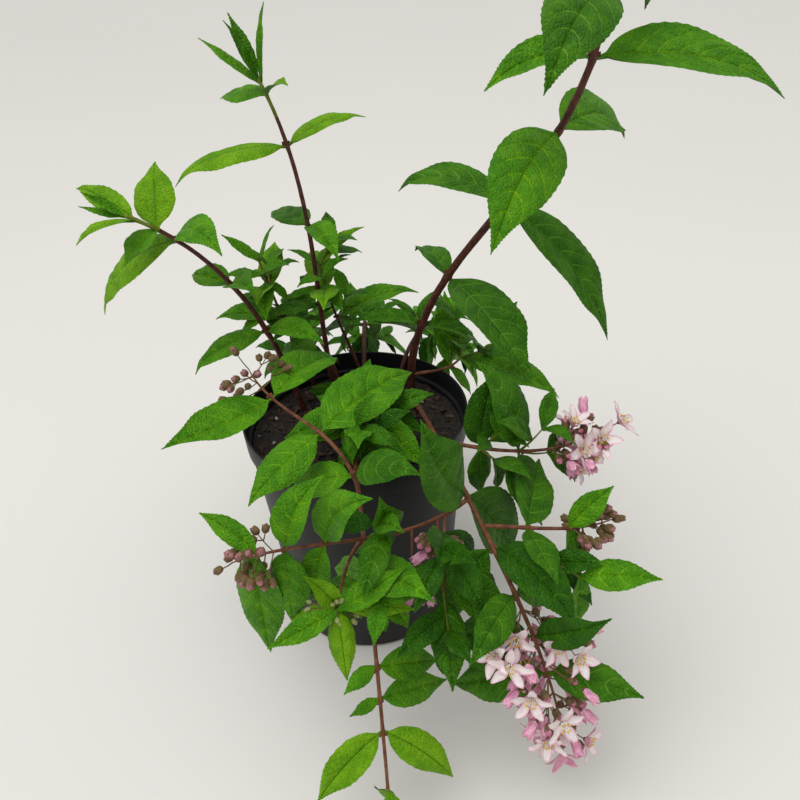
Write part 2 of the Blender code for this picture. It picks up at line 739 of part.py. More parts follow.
def leaf_owners(cane):
    """The names of all the cane's leaves."""
    return {leaf_owner(cane, number, half) for number in range(len(cane.pairs)) for half in (0, 1)}


def seated_leaves(cane, room):
    """The cane's leaves, each turned a little where it would touch, or skipped."""
    points = cane_points(cane)
    seated = []
    for number, pair in enumerate(cane.pairs):
        allowed = {"stem of " + cane.name, leaf_owner(cane, number, 0)}
        if pair.spread < TIP_SPREAD or pair.at > TIP_SHARE:
            allowed |= leaf_owners(cane)
        for half, leaf in enumerate(pair_leaves(cane, pair, points)):
            for roll_step, droop_step in TURN_TRIALS:
                trial = replace(leaf, roll=leaf.roll + roll_step, droop=leaf.droop + droop_step)
                if room.is_free(trial.shell(ROOM_MARGIN), LEAF_FACES, allowed):
                    room.take(leaf_owner(cane, number, half), trial.shell(), LEAF_FACES)
                    seated.append((pair.at, trial))
                    break
    return seated


LEAF_RINGS = len(LEAF_STATIONS) - 2
BUD_RINGS = len(BUD_RINGS_AT)
LEAF_FACES = shell_faces(LEAF_RINGS, LEAF_SIDES)
BUD_FACES = shell_faces(BUD_RINGS, BUD_SIDES)
CORE_FACES = shell_faces(1, BUD_SIDES)
FLOWER_FACES = shell_faces(1, PETAL_POINTS)


def bloom_core(bloom):
    """Corners and faces of the middle of a bud or flower, which mustn't meet another."""
    centre = np.array(bloom.centre)
    facing = np.array(bloom.facing)
    reach = bloom.size * (FLOWER_CORE if bloom.is_open else BUD_CORE)
    corners = [centre - facing * reach, *ring_corners(centre, facing, reach, BUD_SIDES), centre + facing * reach]
    return corners, CORE_FACES


def flower_corners(bloom, margin):
    """Corners of an open flower: a shallow star of five points."""
    centre = np.array(bloom.centre)
    facing = np.array(bloom.facing)
    side, top = stem_frame(facing)
    corners = [centre - facing * (CUP_DEPTH + margin)]
    for k in range(PETAL_POINTS):
        turn = 2.0 * pi * k / PETAL_POINTS
        on_tip = k % 2 == 0
        reach = bloom.size * (1.0 if on_tip else VALLEY_SHARE) + margin
        lift = bloom.size * (PETAL_LIFT if on_tip else VALLEY_LIFT)
        corners.append(centre + (side * cos(turn) + top * sin(turn)) * reach + facing * lift)
    corners.append(centre + facing * (CUP_DEPTH + margin))
    return corners


def bud_corners(bloom, margin):
    """Corners of a bud: an egg with its narrow end forward."""
    centre = np.array(bloom.centre)
    facing = np.array(bloom.facing)
    corners = [centre - facing * (bloom.size * BUD_BACK + margin)]
    for place, share in BUD_RINGS_AT:
        middle = centre + facing * bloom.size * place
        corners += ring_corners(middle, facing, bloom.size * share + margin, BUD_SIDES)
    corners.append(centre + facing * (bloom.size * BUD_TIP + margin))
    return corners


def bloom_shell(bloom, margin=0.0):
    """Corners and faces of the bud or the open flower."""
    if bloom.is_open:
        return flower_corners(bloom, margin), FLOWER_FACES
    return bud_corners(bloom, margin), BUD_FACES


def stalk_shell(bloom, margin=0.0):
    """Corners and faces of a bloom's stalk, its ends sunk in the stem and in the bloom."""
    root = np.array(bloom.root)
    centre = np.array(bloom.centre)
    along = unit(centre - root)
    return lofted([ring_corners(point, along, STALK_RADIUS + margin, STALK_SIDES) for point in (root, centre)])


def seated_blooms(cane, room):
    """The cane's buds and flowers that find room: petals may lap, their middles may not."""
    if cane.head is None:
        return []
    seated = []
    core = "core of " + cane.name
    own = {"stem of " + cane.name, "stalk of " + cane.name, "bloom of " + cane.name}
    company = own | {core} | leaf_owners(cane)
    for bloom in head_blooms(cane, cane_points(cane)):
        if not room.is_free(*bloom_core(bloom), own):
            continue
        if not room.is_free(*bloom_shell(bloom, BLOOM_MARGIN), company):
            continue
        if not room.is_free(*stalk_shell(bloom, BLOOM_MARGIN), company):
            continue
        room.take(core, *bloom_core(bloom))
        room.take("bloom of " + cane.name, *bloom_shell(bloom))
        room.take("stalk of " + cane.name, *stalk_shell(bloom))
        seated.append(bloom)
    return seated


def ball_order(corner):
    """A ball's corners from its foot up, each ring in one turn."""
    return round(corner.co.z, 4), round(degrees(-np.arctan2(corner.co.y, corner.co.x))) % 360


def cut_alike(shape, ordered):
    """Cut each bent face in two as shell_faces does, so that the two skins of a thin blade never cross."""
    number = {corner: i for i, corner in enumerate(ordered)}
    for face in [face for face in shape.faces if len(face.verts) == 4]:
        first, second, third, fourth = sorted(face.verts, key=number.get)
        low = first if number[first] % 2 else second
        high = fourth if number[third] % 2 else third
        bmesh.utils.face_split(face, low, high)


def shell_mesh(name, corners, sides, rings):
    """A closed mesh: a ball of rings, its corners drawn out to the given places."""
    shape = bmesh.new()
    bmesh.ops.create_uvsphere(shape, u_segments=sides, v_segments=rings + 1, radius=1.0)
    ordered = sorted(shape.verts, key=ball_order)
    for corner, place in zip(ordered, corners):
        corner.co = Vector(place)
    if sides % 2 == 0:
        cut_alike(shape, ordered)
    return mesh_from_bmesh(name, shape)


def fuse(thing, pieces):
    """Join the pieces to the object by one union, then remove them."""
    union = thing.modifiers.new("fuse", "BOOLEAN")
    union.operation = "UNION"
    union.operand_type = "COLLECTION"
    union.collection = pieces
    union.solver = "MANIFOLD"
    mesh = evaluated_mesh(thing)
    thing.modifiers.remove(union)
    thing.data = mesh
    for piece in list(pieces.objects):
        bpy.data.objects.remove(piece)


def keep_main_body(mesh):
    """Drop loose scraps, the walls of sealed hollows and edges of no length, leaving the one main body."""
    shape = bmesh.new()
    shape.from_mesh(mesh)
    bmesh.ops.dissolve_degenerate(shape, dist=SCRAP_EDGE, edges=shape.edges)
    left = set(shape.faces)
    bodies = []
    while left:
        front = [left.pop()]
        body = list(front)
        while front:
            for edge in front.pop().edges:
                for other in edge.link_faces:
                    if other in left:
                        left.remove(other)
                        body.append(other)
                        front.append(other)
        bodies.append(body)
    bodies.sort(key=len)
    for body in bodies[:-1]:
        bmesh.ops.delete(shape, geom=body, context="FACES")
    shape.to_mesh(mesh)
    shape.free()


def add_bloom(name, bloom, pieces):
    """The bloom and its stalk, ready for the union."""
    corners, _ = bloom_shell(bloom)
    sides, rings = (PETAL_POINTS, 1) if bloom.is_open else (BUD_SIDES, BUD_RINGS)
    new_object(name, shell_mesh(name, corners, sides, rings), pieces)
    corners, _ = stalk_shell(bloom)
    new_object(name + "_stalk", shell_mesh(name + "_stalk", corners, STALK_SIDES, 2), pieces)


def build_mass(name, cane, span, leaves, blooms, parts, pieces):
    """One mass of foliage: a stretch of the cane's stem with its leaves and blooms fused on."""
    line, radii = stretch(cane, *span, TWIG_POINT_GAP)
    mass = new_object(name, tube_mesh(name, line, radii, TWIG_BEVEL_LEVEL, False, pieces), parts)
    for number, leaf in enumerate(leaves):
        leaf_name = f"{name}_leaf_{number}"
        new_object(leaf_name, shell_mesh(leaf_name, leaf.shell(), LEAF_SIDES, LEAF_RINGS), pieces)
    for number, bloom in enumerate(blooms):
        add_bloom(f"{name}_bloom_{number}", bloom, pieces)
    fuse(mass, pieces)
    keep_main_body(mass.data)
    return mass


def build_bough(cane, parts, pieces):
    """The bare foot of a cane, cut flat just above the compost."""
    line, radii = stretch(cane, 0.0, cane.bough, CANE_POINT_GAP)
    line.insert(1, line[0] + UP * FOOT_RISE)
    radii.insert(1, radii[0])
    line = line[:2] + [point for point in line[2:] if point[2] > line[1][2] + FOOT_CLEAR]
    name = cane.name + "_bough"
    mesh = tube_mesh(name, line, radii[:len(line)], BOUGH_BEVEL_LEVEL, True, pieces)
    return new_object(name, mesh, parts)


def mass_spans(cane):
    """Names and shares of the cane's masses: one, or a lower and an upper."""
    gap = GAP / cane.length
    start = cane.bough + gap if cane.bough else 0.0
    if cane.split is None:
        return {cane.name + "_foliage": (start, 1.0)}
    return {
        cane.name + "_lower_foliage": (start, cane.split),
        cane.name + "_upper_foliage": (cane.split + gap, 1.0),
    }


def dress(thing, colour, roughness):
    """Give the object its own material and smooth faces between its sharp edges."""
    thing.data.materials.clear()
    thing.data.materials.append(new_material(thing.name + "_finish", colour, roughness))
    thing.data.shade_smooth()
    if thing.data.polygons:
        thing.data.set_sharp_from_angle(angle=SMOOTH_ANGLE)


def main():
    """Build the pot, the compost and every cane with its masses, all under one empty."""
    for thing in list(bpy.data.objects):
        bpy.data.objects.remove(thing)
    parts = new_collection("deutzia_shrub")
    cutters = new_collection("cutters")
    pieces = new_collection("pieces")
    dress(build_pot(parts, cutters), POT_COLOUR, POT_ROUGHNESS)
    dress(build_compost(parts), COMPOST_COLOUR, COMPOST_ROUGHNESS)
    room = Room()
    leaves = {}
    blooms = {}
    for cane in CANES:
        leaves[cane.name] = seated_leaves(cane, room)
        blooms[cane.name] = seated_blooms(cane, room)
    for cane in CANES:
        if cane.bough:
            dress(build_bough(cane, parts, pieces), BARK_COLOUR, BARK_ROUGHNESS)
        for name, (low, high) in mass_spans(cane).items():
            own = [leaf for at, leaf in leaves[cane.name] if low <= at <= high]
            head = blooms[cane.name] if high == 1.0 else []
            dress(build_mass(name, cane, (low, high), own, head, parts, pieces), LEAF_COLOUR, LEAF_ROUGHNESS)
    bpy.data.collections.remove(pieces)
    root = new_object("deutzia_root", None, parts)
    for thing in parts.objects:
        if thing != root:
            thing.parent = root


main()
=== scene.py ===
"""Dress the potted deutzia: a finer pot, compost with chips, barked shoots, veined leaves and pink blossom.

Shoots, leaf pairs and flower heads grow by the rule of the solids, so nearly all stand where their solids
stand, and small side twigs fill the inside. Sizes are in metres, angles in degrees and +Z is up.
"""
import json
import logging
from dataclasses import dataclass, replace
from enum import Enum
from functools import cache
from itertools import product
from math import ceil, cos, degrees, pi, radians, sin
from typing import Any, Sequence

import bmesh
import bpy
import numpy as np
from mathutils import Matrix, Vector, noise
from mathutils.bvhtree import BVHTree

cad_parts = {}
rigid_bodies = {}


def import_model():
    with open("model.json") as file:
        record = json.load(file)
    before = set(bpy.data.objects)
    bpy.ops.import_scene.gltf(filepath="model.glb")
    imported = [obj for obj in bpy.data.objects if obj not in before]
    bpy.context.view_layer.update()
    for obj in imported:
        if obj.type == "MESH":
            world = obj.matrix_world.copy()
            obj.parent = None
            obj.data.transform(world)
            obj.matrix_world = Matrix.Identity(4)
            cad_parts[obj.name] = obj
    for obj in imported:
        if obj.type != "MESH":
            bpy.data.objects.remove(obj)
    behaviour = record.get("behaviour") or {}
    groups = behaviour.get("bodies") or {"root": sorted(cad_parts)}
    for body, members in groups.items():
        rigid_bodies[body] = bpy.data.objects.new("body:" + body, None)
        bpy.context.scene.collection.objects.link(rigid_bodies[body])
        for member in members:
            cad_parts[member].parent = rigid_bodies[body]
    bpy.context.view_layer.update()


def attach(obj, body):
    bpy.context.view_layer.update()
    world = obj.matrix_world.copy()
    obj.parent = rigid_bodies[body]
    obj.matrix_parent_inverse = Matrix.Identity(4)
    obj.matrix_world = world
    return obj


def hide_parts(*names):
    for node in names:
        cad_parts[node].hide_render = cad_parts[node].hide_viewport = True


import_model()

LOG = logging.getLogger("deutzia_shrub")
BODY = "root"
Colour = tuple[float, float, float]
Array = np.ndarray
Faces = list[tuple[int, ...]]
Shell = tuple[list[Array], Faces]
Finishes = Sequence[bpy.types.Material]
Rings = Sequence[Sequence[Array]]

# The pot, as its solid has it
POT_HEIGHT = 0.190
POT_RIM_RADIUS = 0.085
POT_BASE_RADIUS = 0.0675
POT_WALL = 0.0016
POT_FLOOR = 0.0022
COLLAR_HEIGHT = 0.018
COLLAR_STEP = 0.0032
GAP = 0.0003
COMPOST_TOP = 0.171

# Sizes shared by all shoots
CANE_STEPS = 24
CANE_TAPER = 0.5
QUARTER_TURN = 90.0
HALF_TURN = 180.0
STEEPEST = 88.0
UP = np.array([0.0, 0.0, 1.0])

# Sizes shared by all leaves
RIB_STEPS = 10
LEAF_STATIONS = (0.0, 0.10, 0.34, 0.60, 0.84, 1.0)
LEAF_THICKNESS = 0.012
LEAF_MIN_THICKNESS = 0.0009
LEAF_KEEL = 0.16
PETIOLE_RADIUS = 0.0008
PETIOLE_SHARE = 0.06
PETIOLE_END = 0.2
BLADE_FULLNESS = 1.55
BLADE_RISE = 0.72
BLADE_FALL = 1.12
BLADE_MOST = 0.52
LIGHT = np.array([0.05, -0.40, 0.85])
LIGHT_FROM_OUTSIDE = 0.25
LIGHT_FROM_AHEAD = 0.15
LEAST_KEPT_TURN = 0.6

# The leaf pairs of a back shoot change from its foot to its tip
BACK_PAIRS = 5
LOWEST_BACK_PAIR = 0.36
BACK_DROOP = 45.0
BACK_SPREAD = 62.0
TIP_LEAF_LESS = 0.45
TIP_DROOP_LESS = 0.5
TIP_SPREAD_LESS = 30.0
TWIN_SHARE = 0.92

# A flower head: stalks turn, spread and shorten by these
STALK_TURN_PLAY = 40.0
STALK_SPREAD = 58.0
STALK_SPREAD_PLAY = 14.0
STALK_DROOP = 14.0
STALK_TIP_LESS = 0.55
STALK_PLAY = 0.4
FORK_SHARE = 0.55
FORK_REACH = 0.42
FORK_LEANS = (0.0, 0.75, -0.75)
NOD = 0.25
BUD_PLAY = 0.3

# Room kept round leaves, stems and blooms
TUBE_SIDES = 4
LEAF_SIDES = 4
BUD_SIDES = 4
PETAL_POINTS = 10
STALK_SIDES = 3
ROOM_MARGIN = 0.0011
STEM_MARGIN = 0.0004
BLOOM_MARGIN = 0.0004
FLOOR_CLEARANCE = 0.004
POT_ROOM_SIDES = 32
RIM_ROOM = 0.004
TIP_SPREAD = 50.0
TIP_SHARE = 0.9
TURN_TRIALS = ((0, 0), (0, 12), (12, 0), (-12, 0), (0, -12), (20, 12), (-20, 12), (0, 28), (25, -15),
               (-25, -15), (35, 30), (-35, 30))

# Shares of a bud's or flower's size in the solids
STALK_RADIUS = 0.0006
BUD_BACK = 0.55
BUD_RINGS_AT = ((-0.25, 0.42), (0.35, 0.46))
BUD_TIP = 0.95
CUP_DEPTH = 0.0028
VALLEY_SHARE = 0.42
PETAL_LIFT = 0.25
VALLEY_LIFT = 0.1
FLOWER_CORE = 0.55
BUD_CORE = 0.5


class Slot(Enum):
    """The record's material slots."""
    POT = "pot_plastic"
    COMPOST = "compost"
    BARK = "bark"
    FOLIAGE = "foliage"


class AgeAndShade(Enum):
    """How old a leaf is, which sets its green; SHADED is painted shade instead, a darker green for leaves
    that sit in shade.
    """
    YOUNG = 0
    FRESH = 1
    FULL = 2
    # painted shade: a darker green for leaves that sit in the shade inside the crown
    SHADED = 3


class Ripeness(Enum):
    """How far the buds of a flower head have come."""
    GREEN = 0
    DUSKY = 1
    ROSY = 2
    BELL = 3


def unit(v: Array) -> Array:
    """The vector at length one."""
    return v / max(float(np.linalg.norm(v)), 1e-9)


def units(rows: Array) -> Array:
    """Each row of vectors at length one."""
    return rows / np.maximum(np.linalg.norm(rows, axis=-1, keepdims=True), 1e-9)


def at_share(points: Array, share: float) -> tuple[Array, Array]:
    """Find a place on a line.

    Args:
        points: The line's points.
        share: The place, from 0 at the start to 1 at the end.
    Returns:
        The point and the direction there.
    """
    place = share * (len(points) - 1)
    i = min(int(place), len(points) - 2)
    return points[i] + (points[i + 1] - points[i]) * (place - i), unit(points[i + 1] - points[i])


def stem_frame(along: Array) -> tuple[Array, Array]:
    """Find the directions across a stem.

    Args:
        along: The stem's direction.
    Returns:
        The direction to the right of its travel, and its upper side.
    """
    side = np.cross(along, UP)
    if np.linalg.norm(side) < 0.05:
        side = np.array([0.0, -1.0, 0.0])
    side = unit(side)
    return side, np.cross(side, along)


def swung(first: Array, second: Array, angle: float) -> Array:
    """The first direction turned towards the second by an angle in radians."""
    return first * cos(angle) + second * sin(angle)


def off_stem(along: Array, roll: float) -> Array:
    """The direction straight out of a stem at a roll in degrees."""
    side, top = stem_frame(along)
    return swung(side, top, radians(roll))


def turns_of(count: int) -> list[float]:
    """The angles in radians that part a full turn evenly."""
    return [2.0 * pi * k / count for k in range(count)]


def towards_ground(direction: Array, angle: float) -> Array:
    """Swing a direction towards the ground.

    Args:
        direction: The direction before.
        angle: How far it swings.
    Returns:
        The direction after, no further than straight down.
    """
    level = unit(direction - UP * direction[2])
    rise = degrees(np.arctan2(direction[2], direction @ level))
    rise = min(max(rise - angle, -STEEPEST), STEEPEST)
    return swung(level, UP, radians(rise))


def chance(seed: float, index: float) -> float:
    """A repeatable number from 0 to 1 for each item of a seeded row."""
    value = sin(seed * 12.9898 + index * 78.233) * 43758.5453
    return value - int(value // 1)


def picked(rng: np.random.Generator, span: tuple[float, float]) -> float:
    """A random number above the span's first value by up to its second."""
    return span[0] + span[1] * rng.random()


def ring_corners(centre: Array, along: Array, radius: float, sides: int) -> list[Array]:
    """The corners of a ring about a line through its centre."""
    side, top = stem_frame(along)
    return [centre + swung(side, top, turn) * radius for turn in turns_of(sides)]


def level_ring(radius: float, z: float, sides: int) -> list[Array]:
    """The corners of a level ring about the pot's axis."""
    return [np.array([radius * cos(turn), radius * sin(turn), z]) for turn in turns_of(sides)]


@cache
def shell_faces(rings: int, sides: int, is_cut: bool = False) -> Faces:
    """List the faces of a closed shell that runs from a point over rings to a point.

    Args:
        rings: How many rings.
        sides: Corners in each ring.
        is_cut: Whether each bent face is cut in two, as the solids have it.
    Returns:
        Corner numbers of each face.
    """
    faces = [(0, 1 + k, 1 + (k + 1) % sides) for k in range(sides)]
    last = 1 + (rings - 1) * sides
    for low in range(1, last, sides):
        for k in range(sides):
            a, b = low + k, low + (k + 1) % sides
            c, d = a + sides, b + sides
            if not is_cut:
                faces.append((a, c, d, b))
            elif k % 2:
                faces += [(a, c, b), (c, d, b)]
            else:
                faces += [(a, c, d), (a, d, b)]
    return faces + [(last + sides, last + (k + 1) % sides, last + k) for k in range(sides)]


def lofted(rings: Rings) -> Shell:
    """Close rings in a row by a point in the middle of each end.

    Args:
        rings: The corners of each ring.
    Returns:
        Corners and faces.
    """
    first, last = (sum(ring) / len(ring) for ring in (rings[0], rings[-1]))
    corners = [first, *(corner for ring in rings for corner in ring), last]
    return corners, shell_faces(len(rings), len(rings[0]), True)


@dataclass(frozen=True)
class Pair:
    """Two opposite leaves at one node of a shoot."""
    at: float
    roll: float
    size: float
    droop: float = 35.0
    spread: float = 65.0
    twin: float = 1.0
    width: float = 0.40
    twin_droop: float | None = None


@dataclass(frozen=True)
class FlowerHead:
    """Flower stalks in opposite pairs along the end of a shoot."""
    start: float
    nodes: int
    stalk: float
    open_share: float
    seed: int
    bud: float = 0.0042
    flower: float = 0.0135
    side_stalks: int = 2


@dataclass(frozen=True)
class Leaf:
    """One leaf, placed: where it starts, the stem's direction there, and its own angles."""
    cane: str
    base: tuple
    along: tuple
    roll: float
    spread: float
    droop: float
    size: float
    width: float

    def rib(self, count: int) -> tuple[Array, Array]:
        """Lay the midrib.

        Args:
            count: How many steps it takes.
        Returns:
            Points and directions along it.
        """
        along = np.array(self.along)
        first = swung(along, off_stem(along, self.roll), radians(self.spread))
        points, directions = [np.array(self.base)], []
        for i in range(count):
            directions.append(towards_ground(first, self.droop * (i + 0.5) / count))
            points.append(points[-1] + directions[-1] * self.size / count)
        return np.array(points), np.array([*directions, directions[-1]])

    def section(self, points: Array, directions: Array, s: float,
                before: Array | None = None) -> tuple[Array, Array, Array]:
        """Find the blade's frame at a share of the leaf.

        Args:
            points: Points of the midrib.
            directions: Its directions.
            s: The share.
            before: The upper direction at the station before, from which this one never twists far.
        Returns:
            Rib point, across direction and upper direction.
        """
        point, _ = at_share(points, s)
        place = min(int(s * (len(points) - 1)), len(points) - 1)
        direction = directions[place]
        outward = unit(np.array([self.base[0], self.base[1], 0.0]))
        light = LIGHT + outward * LIGHT_FROM_OUTSIDE + np.array(self.along) * LIGHT_FROM_AHEAD
        upper = unit(light - direction * float(light @ direction))
        if before is not None and float(upper @ before) < LEAST_KEPT_TURN:
            upper = unit(before - direction * float(before @ direction))
        return point, np.cross(direction, upper), upper

    def uppers(self) -> Array:
        """Find the blade's upper side.

        Returns:
            Its direction at each station of the solids.
        """
        points, directions = self.rib(RIB_STEPS)
        found = [None]
        for s in LEAF_STATIONS[1:]:
            found.append(self.section(points, directions, s, found[-1])[2])
        return np.array([found[1], *found[1:]])

    def shell(self, margin: float = 0.0) -> Shell:
        """Lay the plain closed blade of the solids.

        Args:
            margin: How much wider and thicker it is made all round.
        Returns:
            Corners (root, four rings of four, tip) and faces.
        """
        points, directions = self.rib(RIB_STEPS)
        corners = [points[0]]
        thick = 0.5 * max(LEAF_THICKNESS * self.size, LEAF_MIN_THICKNESS)
        upper = None
        for s in LEAF_STATIONS[1:-1]:
            point, across, upper = self.section(points, directions, s, upper)
            t = (s - PETIOLE_SHARE) / (1.0 - PETIOLE_SHARE)
            full = min(BLADE_FULLNESS * t ** BLADE_RISE * (1.0 - t) ** BLADE_FALL, BLADE_MOST)
            half = max(full * self.width * self.size, PETIOLE_RADIUS) + margin
            lift = LEAF_KEEL * half
            rise = max(thick, PETIOLE_RADIUS if s < PETIOLE_END else thick) + margin
            corners += [point + across * half + upper * lift, point + upper * rise,
                        point - across * half + upper * lift, point - upper * rise]
        return [*corners, points[-1]], LEAF_FACES


@dataclass(frozen=True)
class Bloom:
    """One stalk with its bud or open flower."""
    root: tuple
    centre: tuple
    facing: tuple
    is_open: bool
    size: float

    def core(self, flower_share: float = FLOWER_CORE, bud_share: float = BUD_CORE) -> Shell:
        """Lay the middle of the bud or flower, which mustn't meet another.

        Args:
            flower_share: The core's reach over an open flower's size.
            bud_share: The same for a bud.
        Returns:
            Corners and faces.
        """
        centre = np.array(self.centre)
        facing = np.array(self.facing)
        reach = self.size * (flower_share if self.is_open else bud_share)
        ring = ring_corners(centre, facing, reach, BUD_SIDES)
        return [centre - facing * reach, *ring, centre + facing * reach], CORE_FACES

    def shell(self, margin: float = 0.0) -> Shell:
        """Lay the solid: a shallow star of five points, or a bud's egg with its narrow end forward.

        Args:
            margin: How much wider it is made all round.
        Returns:
            Corners and faces.
        """
        centre, facing = np.array(self.centre), np.array(self.facing)
        rings = []
        if not self.is_open:
            for place, share in BUD_RINGS_AT:
                middle = centre + facing * self.size * place
                rings += ring_corners(middle, facing, self.size * share + margin, BUD_SIDES)
            back, tip = facing * (self.size * BUD_BACK + margin), facing * (self.size * BUD_TIP + margin)
            return [centre - back, *rings, centre + tip], BUD_FACES
        side, top = stem_frame(facing)
        for k, turn in enumerate(turns_of(PETAL_POINTS)):
            share, rise = (VALLEY_SHARE, VALLEY_LIFT) if k % 2 else (1.0, PETAL_LIFT)
            out = swung(side, top, turn) * (self.size * share + margin)
            rings.append(centre + out + facing * (self.size * rise))
        cup = facing * (CUP_DEPTH + margin)
        return [centre - cup, *rings, centre + cup], FLOWER_FACES

    def stalk(self, margin: float = 0.0) -> Shell:
        """The corners and faces of the stalk's solid."""
        ends, reach = (np.array(self.root), np.array(self.centre)), STALK_RADIUS + margin
        return lofted([ring_corners(end, unit(ends[1] - ends[0]), reach, STALK_SIDES) for end in ends])


LEAF_FACES = shell_faces(len(LEAF_STATIONS) - 2, LEAF_SIDES, True)
BUD_FACES = shell_faces(len(BUD_RINGS_AT), BUD_SIDES, True)
CORE_FACES = shell_faces(1, BUD_SIDES, True)
FLOWER_FACES = shell_faces(1, PETAL_POINTS, True)


@dataclass(frozen=True)
class Cane:
    """One shoot: its lean runs through three values and its heading turns evenly."""
    name: str
    foot: tuple
    heading: float
    turn: float
    lean: tuple
    length: float
    thick: float
    bough: float
    pairs: tuple
    parent: str | None = None
    split: float | None = None
    head: FlowerHead | None = None

    def radius(self, share: float) -> float:
        """The shoot's radius, thinner towards the tip."""
        return 0.5 * self.thick * (1.0 - CANE_TAPER * share)

    def direction(self, share: float) -> Array:
        """Find which way the shoot grows.

        Args:
            share: The place along it.
        Returns:
            The direction there.
        """
        low, middle, high = self.lean
        lean = low * (1 - share) * (1 - 2 * share) + middle * 4 * share * (1 - share)
        tilt = radians(lean + high * share * (2 * share - 1))
        heading = radians(self.heading + self.turn * share)
        return np.array([sin(tilt) * cos(heading), sin(tilt) * sin(heading), cos(tilt)])

    def masses(self) -> list[str]:
        """The names of the solids of this shoot's foliage."""
        parts = ("",) if self.split is None else ("_lower", "_upper")
        return [self.name + part + "_foliage" for part in parts]

    def pair_leaves(self, pair: Pair) -> tuple[Leaf, Leaf]:
        """Grow a pair of leaves.

        Args:
            pair: The pair.
        Returns:
            The two leaves, before either is turned to find room.
        """
        base, along = at_share(cane_points(self.name), pair.at)
        first = Leaf(self.name, tuple(base), tuple(along), pair.roll, pair.spread, pair.droop, pair.size,
                     pair.width)
        droop = pair.droop if pair.twin_droop is None else pair.twin_droop
        return first, replace(first, roll=pair.roll + HALF_TURN, droop=droop, size=pair.size * pair.twin)

    def blooms(self) -> list[Bloom]:
        """Grow the flower head.

        Returns:
            Its stalks: opposite, quarter-turned, shorter to the tip, each with side stalks.
        """
        head = self.head
        blooms = []
        count = 0
        for node in range(head.nodes + 1):
            share = node / head.nodes
            base, along = at_share(cane_points(self.name), head.start + (1.0 - head.start) * share)
            last = node == head.nodes
            for half in range(1 if last else 2):
                turn = QUARTER_TURN * (node % 2) + HALF_TURN * half
                turn += STALK_TURN_PLAY * chance(head.seed, count)
                spread = 0.0 if last else STALK_SPREAD + STALK_SPREAD_PLAY * chance(head.seed, count + 50)
                stalk = towards_ground(swung(along, off_stem(along, turn), radians(spread)), STALK_DROOP)
                length = head.stalk * (1.0 - STALK_TIP_LESS * share)
                length *= 1.0 - STALK_PLAY / 2 + STALK_PLAY * chance(head.seed, count + 90)
                for fork in range(1 if last else 1 + head.side_stalks):
                    count += 1
                    across = unit(np.cross(stalk, UP + along * 0.3))
                    nod = UP * NOD * chance(head.seed, count + 130)
                    facing = unit(stalk + across * FORK_LEANS[fork] - nod)
                    root = base if fork == 0 else base + stalk * length * FORK_SHARE
                    centre = base + stalk * length if fork == 0 else root + facing * length * FORK_REACH
                    is_open = chance(head.seed, count + 170) < head.open_share
                    size = head.flower
                    if not is_open:
                        size = head.bud * (1.0 - BUD_PLAY / 2 + BUD_PLAY * chance(head.seed, count + 210))
                    blooms.append(Bloom(tuple(root), tuple(centre), tuple(facing), is_open, size))
        return blooms


@cache
def cane_points(name: str) -> Array:
    """Lay a shoot's centre line.

    Args:
        name: The shoot's name.
    Returns:
        The line's points, which for a side shoot start just clear of its parent's side.
    """
    cane = CANE_BOOK[name]
    start = np.array(cane.foot, float)
    if cane.parent:
        host, along = at_share(cane_points(cane.parent), cane.foot[0])
        grow = cane.direction(0.0)
        slant = abs(float(grow @ along))
        reach = CANE_BOOK[cane.parent].radius(cane.foot[0]) + GAP + cane.radius(0.0) * slant
        start = host + grow * reach / max((1 - slant * slant) ** 0.5, 0.3)
    points = [start]
    for i in range(CANE_STEPS):
        points.append(points[-1] + cane.direction((i + 0.5) / CANE_STEPS) * cane.length / CANE_STEPS)
    return np.array(points)


def back_pairs(roll: float, size: float) -> tuple[Pair, ...]:
    """Lay out the leaf pairs of a back shoot.

    Args:
        roll: The lowest pair's turn about the shoot.
        size: The length of its leaves.
    Returns:
        The pairs, turned by a quarter each time, smaller and closer to the tip.
    """
    pairs = []
    for k in range(BACK_PAIRS):
        share = k / (BACK_PAIRS - 1)
        at = LOWEST_BACK_PAIR + (1.0 - LOWEST_BACK_PAIR) * share
        length = size * (1.0 - TIP_LEAF_LESS * share * share)
        droop = BACK_DROOP * (1.0 - TIP_DROOP_LESS * share)
        spread = BACK_SPREAD - TIP_SPREAD_LESS * share ** 3
        pairs.append(Pair(at, roll + QUARTER_TURN * (k % 2), length, droop, spread, TWIN_SHARE))
    return tuple(pairs)


